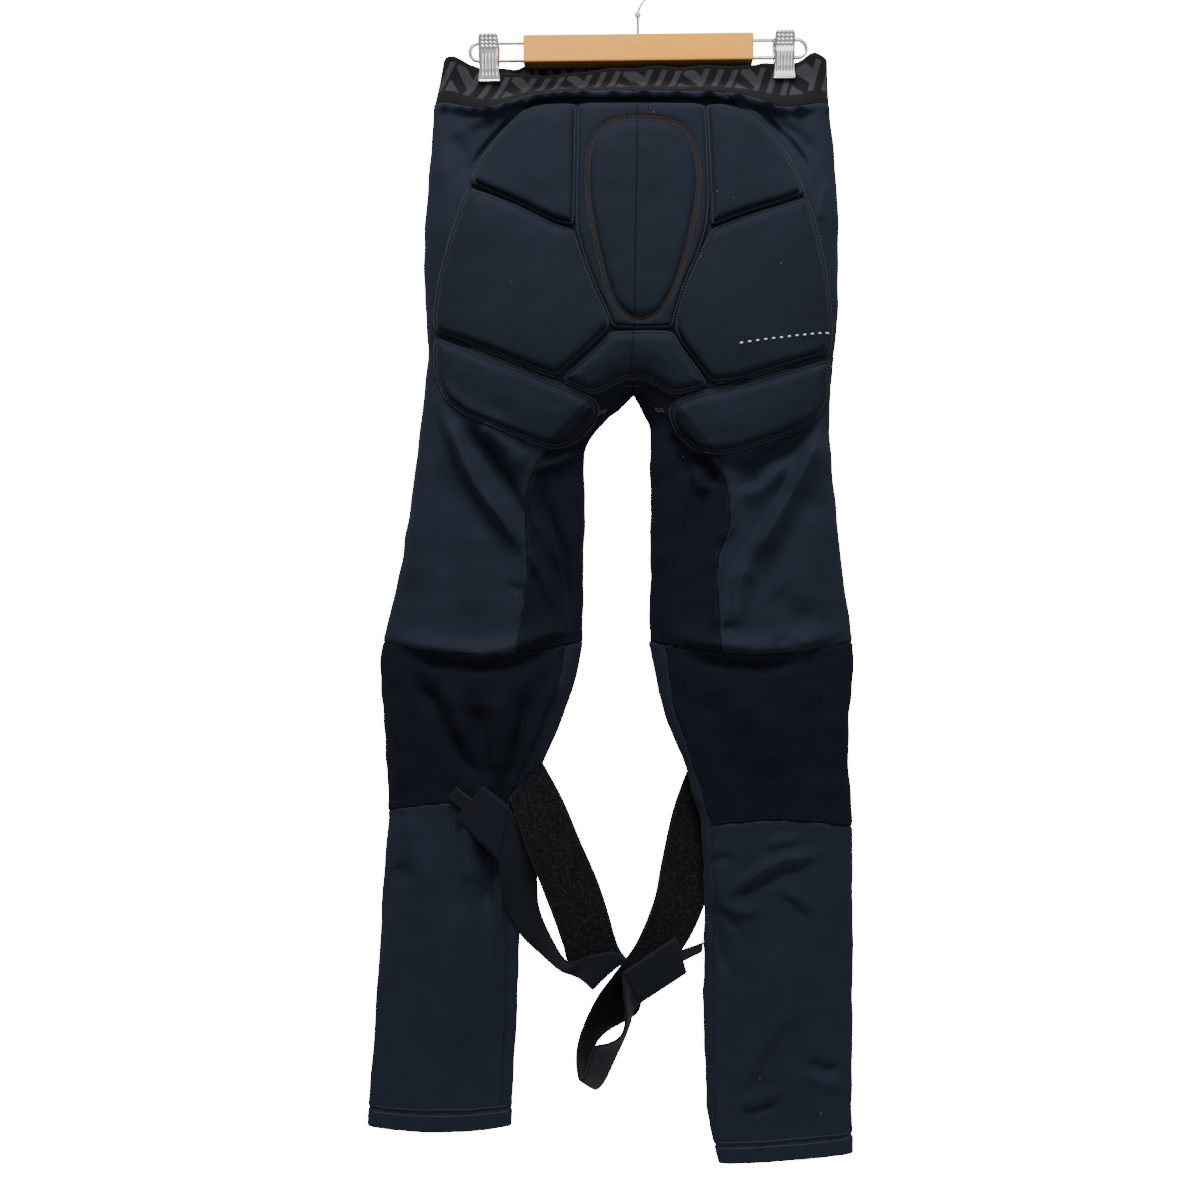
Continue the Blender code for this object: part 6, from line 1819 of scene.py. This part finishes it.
def make_strap(side):
    across, drop, other_across, other_drop, far = STRAP_ROOTS[side]
    lift = STRAP_GAP[side] + STRAP_WALL / 2
    sewn = [
        sewn_point(side, across + (other_across - across) * t, drop + (other_drop - drop) * t,
                   far, lift)
        for t in (0.0, 0.5, 1.0)
    ]
    rows = STRAP_STATIONS[side]
    one = catmull([sewn[0]] + [place(*row[:3]) for row in rows], 7)
    other = catmull([sewn[2]] + [place(*row[3:]) for row in rows], 7)
    bow = sewn[1] - (sewn[0] + sewn[2]) / 2
    sides = [strap_pile, strap_smooth] if side == "left" else [strap_smooth, strap_pile]
    strap, points = ribbon("strap_" + side, one, other, STRAP_WALL, sides, bow=bow,
                           arch=0.0005)

    patch = np.array([place(*corner) for corner in STRAP_ENDS[side]])
    edge = np.array([one[-1], other[-1]])
    end = piece_from("strap_end_" + side, edge, patch, STRAP_END_WALL, [strap_smooth])
    low, high, *corners = PULL_TABS[side]
    root = patch[0] + (patch[1] - patch[0]) * np.array([[low], [high]])
    tab = np.array([place(*corner) for corner in corners])
    pull = piece_from("pull_tab_" + side, root, tab, TAB_WALL, [tab_cloth])
    declare_cloth(strap, points, with_pieces=[end, pull])


def piece_from(name, root, far_edge, wall, materials):
    """A flat piece that laps a little over the edge it is sewn to."""
    along = (root[1] - root[0]) / np.linalg.norm(root[1] - root[0])
    away = (far_edge.sum(axis=0) - root.sum(axis=0)) / 2
    away = away - along * away.dot(along)
    root = root - away / np.linalg.norm(away) * 0.0006
    shares = np.linspace(0.0, 1.0, 17)[:, None]
    one = root[0] + (far_edge[0] - root[0]) * shares
    other = root[1] + (far_edge[1] - root[1]) * shares
    piece, _ = ribbon(name, one, other, wall, materials, arch=0.0004)
    return piece


# %% Pull tabs of ribbed tape, and the two straps
tab_cloth, tree, shader = new_material("ribbed_tape", 0.7, sheen=0.1)
_, cloth = places(tree)
TAB_RIBS = 6
ribs = maths(tree, "MULTIPLY", axes_of(tree, cloth)[0], TAB_RIBS * 2 * math.pi)
ribs = maths(tree, "SINE", ribs)
# The tape's colour follows its ribs, lighter on the crests and darker in the hollows: painted
# light and shade, in step with the bump.
shade = maths(tree, "MULTIPLY_ADD", ribs, 0.35, 1.0)
tree.links.new(scale_colour(tree, (0.0075, 0.0085, 0.0110), shade), shader.inputs["Base Color"])
add_bump(tree, shader, ribs, 0.0004)

for side in SIGN:
    make_strap(side)

# %% [markdown]
# ## Hanger
# The hanger is a plain wooden bar with a wire loop at each end, and a sprung clip slides on
# each loop. The bar, the sliders, the pins and the collar have their final shape in the CAD
# model, so they only get a finish. The wires are drawn again as smooth tubes, and the clip
# jaws as pressed plates with grip bumps and ribs.

# %% Wood and metal
WOOD_LIGHT, WOOD_DARK = (1.0, 0.46, 0.042), (0.90, 0.34, 0.022)
WOOD_UNDERSIDE_SHADE = (0.34, 0.200, 0.065)
GRAIN_STRETCH = (5.0, 60.0, 85.0)
honey_wood, tree, shader = new_material("honey_wood", 0.55, gloss=0.2)
space, _ = places(tree)
stretch = tree.nodes.new("ShaderNodeMapping")
stretch.inputs["Scale"].default_value = GRAIN_STRETCH
tree.links.new(space, stretch.inputs["Vector"])
grain = noise(tree, stretch.outputs["Vector"], 3.2, 5.0, 0.6)
pores = noise(tree, stretch.outputs["Vector"], 16.0, 3.0, 0.6)
base = blend_colours(tree, grain, WOOD_LIGHT, WOOD_DARK)
base = scale_colour(tree, base, maths(tree, "MULTIPLY_ADD", pores, 0.30, 0.85))
# Faces that point down take a darker brown: painted shade on the bar's underside, for light from
# above.
facing = tree.nodes.new("ShaderNodeNewGeometry")
under = maths(tree, "LESS_THAN", axes_of(tree, facing.outputs["Normal"])[2], -0.75)
base = blend_colours(tree, under, base, WOOD_UNDERSIDE_SHADE)
tree.links.new(base, shader.inputs["Base Color"])
add_bump(tree, shader, pores, 0.0002)


def metal(name, colour, roughness, metallic=1.0):
    """Polished or drawn metal with faint smears of handling."""
    material, tree, shader, _, shade = worn_material(
        name, colour, roughness, patch=0.012, metallic=metallic, gloss=0.5)
    smears = maths(tree, "MULTIPLY", shade, roughness)
    tree.links.new(smears, shader.inputs["Roughness"])
    return material


chrome = metal("bright_chrome", (0.88, 0.88, 0.89), 0.18)
drawn_wire = metal("drawn_wire", (0.42, 0.42, 0.43), 0.30)
# The collar takes a plain white non-metal finish: a painted highlight in place of the bright
# reflection on its metal.
white_painted_glint = metal("white_painted_glint", (0.85, 0.85, 0.83), 0.35, metallic=0.0)
CARRIED_OVER = {
    "wood_bar": honey_wood, "collar": white_painted_glint, "clip_pin_left": chrome, "clip_pin_right": chrome,
    "clip_slider_left": chrome, "clip_slider_right": chrome,
}
for name, finish in CARRIED_OVER.items():
    for slot in bpy.data.objects[name].material_slots:
        slot.material = finish
print("given a finish:", sorted(CARRIED_OVER))

# %% Smooth wires: the hook, its stem and the two rails
TILT = np.array(Euler((0.0, -math.radians(0.65), 0.0)).to_matrix())
BAR_CENTRE_Z = -0.0855
BAR_LENGTH = 0.2016
CLIP_X = {side: CENTRE_X + SIGN[side] * CLIP_OUT[side] for side in SIGN}
RAIL_SPAN = 2 * (max(-CLIP_X["left"], CLIP_X["right"]) + 0.0184)
RAIL_RADIUS = 0.0077
HOOK_RADIUS, HOOK_WIRE, HOOK_SWEEP = 0.0200, 0.0020, 0.016
STEM_WIRE, RAIL_WIRE = 0.0024, 0.0032
COLLAR_Z = -0.0540


def wire(name, node, points, diameter, material):
    """A round wire along these points, tilted with the hanger."""
    curve = bpy.data.curves.new(name, "CURVE")
    curve.dimensions = "3D"
    curve.bevel_depth = diameter / 2
    curve.bevel_resolution = 5
    curve.use_fill_caps = True
    spline = curve.splines.new("POLY")
    points = np.asarray(points) @ TILT.T
    spline.points.add(len(points) - 1)
    spline.points.foreach_set("co", np.c_[points, np.ones(len(points))].ravel())
    piece = new_piece(name, curve, [material])
    onto_body(piece)
    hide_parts(node)


arc = np.radians(200 - 255 * np.linspace(0, 1, 72))
hook = np.stack([HOOK_RADIUS * np.cos(arc), 0 * arc,
                 HOOK_WIRE / 2 - HOOK_RADIUS + HOOK_RADIUS * np.sin(arc)], axis=1)
start, end = hook[-1], np.array([0.0, 0.0, COLLAR_Z + 0.0002])
leave = np.array([math.sin(arc[-1]), 0.0, -math.cos(arc[-1])]) * HOOK_SWEEP
arrive = np.array([0.0, 0.0, -HOOK_SWEEP])
t = np.linspace(0, 1, 26)[1:, None]
sweep = ((2 * t**3 - 3 * t**2 + 1) * start + (t**3 - 2 * t**2 + t) * leave
         + (3 * t**2 - 2 * t**3) * end + (t**3 - t**2) * arrive)
wire("hook_wire", "hook", np.vstack([hook, sweep]), HOOK_WIRE, drawn_wire)
stem = [(0, 0, -0.0835), (0, 0, -0.070), (0, 0, COLLAR_Z - 0.0002)]
wire("stem_wire", "stem", stem, STEM_WIRE, chrome)
for side, sign in SIGN.items():
    turn_x = RAIL_SPAN / 2 - RAIL_WIRE / 2 - RAIL_RADIUS
    seat_x = BAR_LENGTH / 2 - 0.0120
    around = np.linspace(math.pi / 2, -math.pi / 2, 33)
    bend = [(sign * (turn_x + RAIL_RADIUS * math.cos(a)), 0.0,
             BAR_CENTRE_Z + RAIL_RADIUS * math.sin(a)) for a in around]
    runs_out = [(sign * seat_x, 0.0, BAR_CENTRE_Z + RAIL_RADIUS), *bend,
                (sign * seat_x, 0.0, BAR_CENTRE_Z - RAIL_RADIUS)]
    wire(f"rail_{side}_wire", "rail_" + side, runs_out, RAIL_WIRE, chrome)
print("wires drawn, rails span", round(RAIL_SPAN, 4))

# %% Clip jaws: pressed plates
JAW_WALL = 0.0014
GRIP_Y = BAND_FLAT_Y + 0.0003 + JAW_WALL / 2
JAW_LEAN, JAW_HALF = 0.0085, 0.0085
CHEEK_HALF_WALL, EAR_RADIUS = 0.0006, 0.0034
# Height over the pin, depth beyond the grip and half width, from the thumb end to the tip
JAW_ROWS = (
    (0.0115, JAW_LEAN, 0.0080), (0.00575, JAW_LEAN * 0.72, 0.0085), (0.0, JAW_LEAN * 0.46, 0.0085),
    (-0.0069, JAW_LEAN * 0.27, 0.0085), (-0.0165, 0.0, 0.0085), (-0.0259, 0.0, 0.0095),
    (-0.0275, 0.0014, 0.0095),
)


BUMPS_X, BUMPS_Z = (-0.0054, -0.0018, 0.0018, 0.0054), (0.0096, 0.0068, 0.0040, 0.0012)
RIBS_X, RIBS_LOW, RIBS_HIGH = (-0.0060, -0.0030, 0.0, 0.0030, 0.0060), 0.0225, -0.0035
PRESSED_HEIGHT = 0.0006


def pressed(x, z):
    """Bumps on the thumb end and ribs below them, as heights."""
    height = np.zeros(x.shape)
    for bump_z in BUMPS_Z:
        for bump_x in BUMPS_X:
            away = ((x - bump_x) / 0.0014) ** 2 + ((z - bump_z) / 0.0010) ** 2
            height += PRESSED_HEIGHT * np.exp(-(away**2))
    window = ease((z + RIBS_LOW) / 0.003) * ease((RIBS_HIGH - z) / 0.003)
    for rib_x in RIBS_X:
        height += PRESSED_HEIGHT * window * hill(x - rib_x, 0.0008)
    return height


def make_jaw(side, facing):
    away = -1.0 if facing == "front" else 1.0
    heights, depths, halves = (np.array(column) for column in zip(*JAW_ROWS[::-1]))
    z = np.linspace(heights[0], heights[-1], 90)[::-1]
    depth = smooth_curve(heights, depths, z)[:, None] + GRIP_Y
    half = smooth_curve(heights, halves, z)[:, None]
    shares = np.linspace(-1, 1, 49)[None, :]
    corner = ease((np.abs(z - 0.0115) / 0.0022))[:, None]
    x = shares * half * (0.86 + 0.14 * corner)
    y = depth + pressed(x, z[:, None]) - 0.0011 * ease((np.abs(shares) - 0.88) / 0.12)
    y = np.where(z[:, None] < -0.012, np.maximum(y, GRIP_Y), y)
    rows = np.broadcast_to(z[:, None] + BAR_CENTRE_Z, x.shape)
    points = np.stack([x + CLIP_X[side], away * y, rows], axis=-1)
    jaw = grid_mesh(f"clip_{facing}_jaw_{side}_plate", points @ TILT.T, [chrome],
                    flip=facing == "back")
    thicken(jaw, JAW_WALL, offset=0.0)
    onto_body(jaw)
    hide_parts(f"clip_{facing}_jaw_{side}")


def make_cheeks(side):
    """The four ears that hold both jaws on the pin."""
    shaped = bmesh.new()
    for away, inset_x in ((-1.0, 0.0), (1.0, 0.0018)):
        plate = GRIP_Y + JAW_LEAN * 0.46
        arc = np.linspace(math.pi / 2, 3 * math.pi / 2, 17)
        ear = [(EAR_RADIUS * math.cos(a), EAR_RADIUS * math.sin(a)) for a in arc]
        outline = [(plate + 0.0006, 0.0046), *ear, (plate - 0.0012, -0.0050)]
        for sign in (-1.0, 1.0):
            middle = CLIP_X[side] + sign * (JAW_HALF - inset_x - CHEEK_HALF_WALL)
            faces = []
            for x in (middle - CHEEK_HALF_WALL, middle + CHEEK_HALF_WALL):
                ring = np.array([(x, away * y, z + BAR_CENTRE_Z) for y, z in outline]) @ TILT.T
                faces.append([shaped.verts.new(point) for point in ring])
            shaped.faces.new(faces[0])
            shaped.faces.new(faces[1][::-1])
            for j in range(len(outline)):
                k = (j + 1) % len(outline)
                shaped.faces.new((faces[0][j], faces[0][k], faces[1][k], faces[1][j]))
    bmesh.ops.recalc_face_normals(shaped, faces=shaped.faces)
    mesh = bpy.data.meshes.new("clip_cheeks_" + side)
    shaped.to_mesh(mesh)
    shaped.free()
    onto_body(new_piece("clip_cheeks_" + side, mesh, [chrome]))


for side in SIGN:
    for facing in ("front", "back"):
        make_jaw(side, facing)
    make_cheeks(side)
print("clips at", {side: round(x, 4) for side, x in CLIP_X.items()})
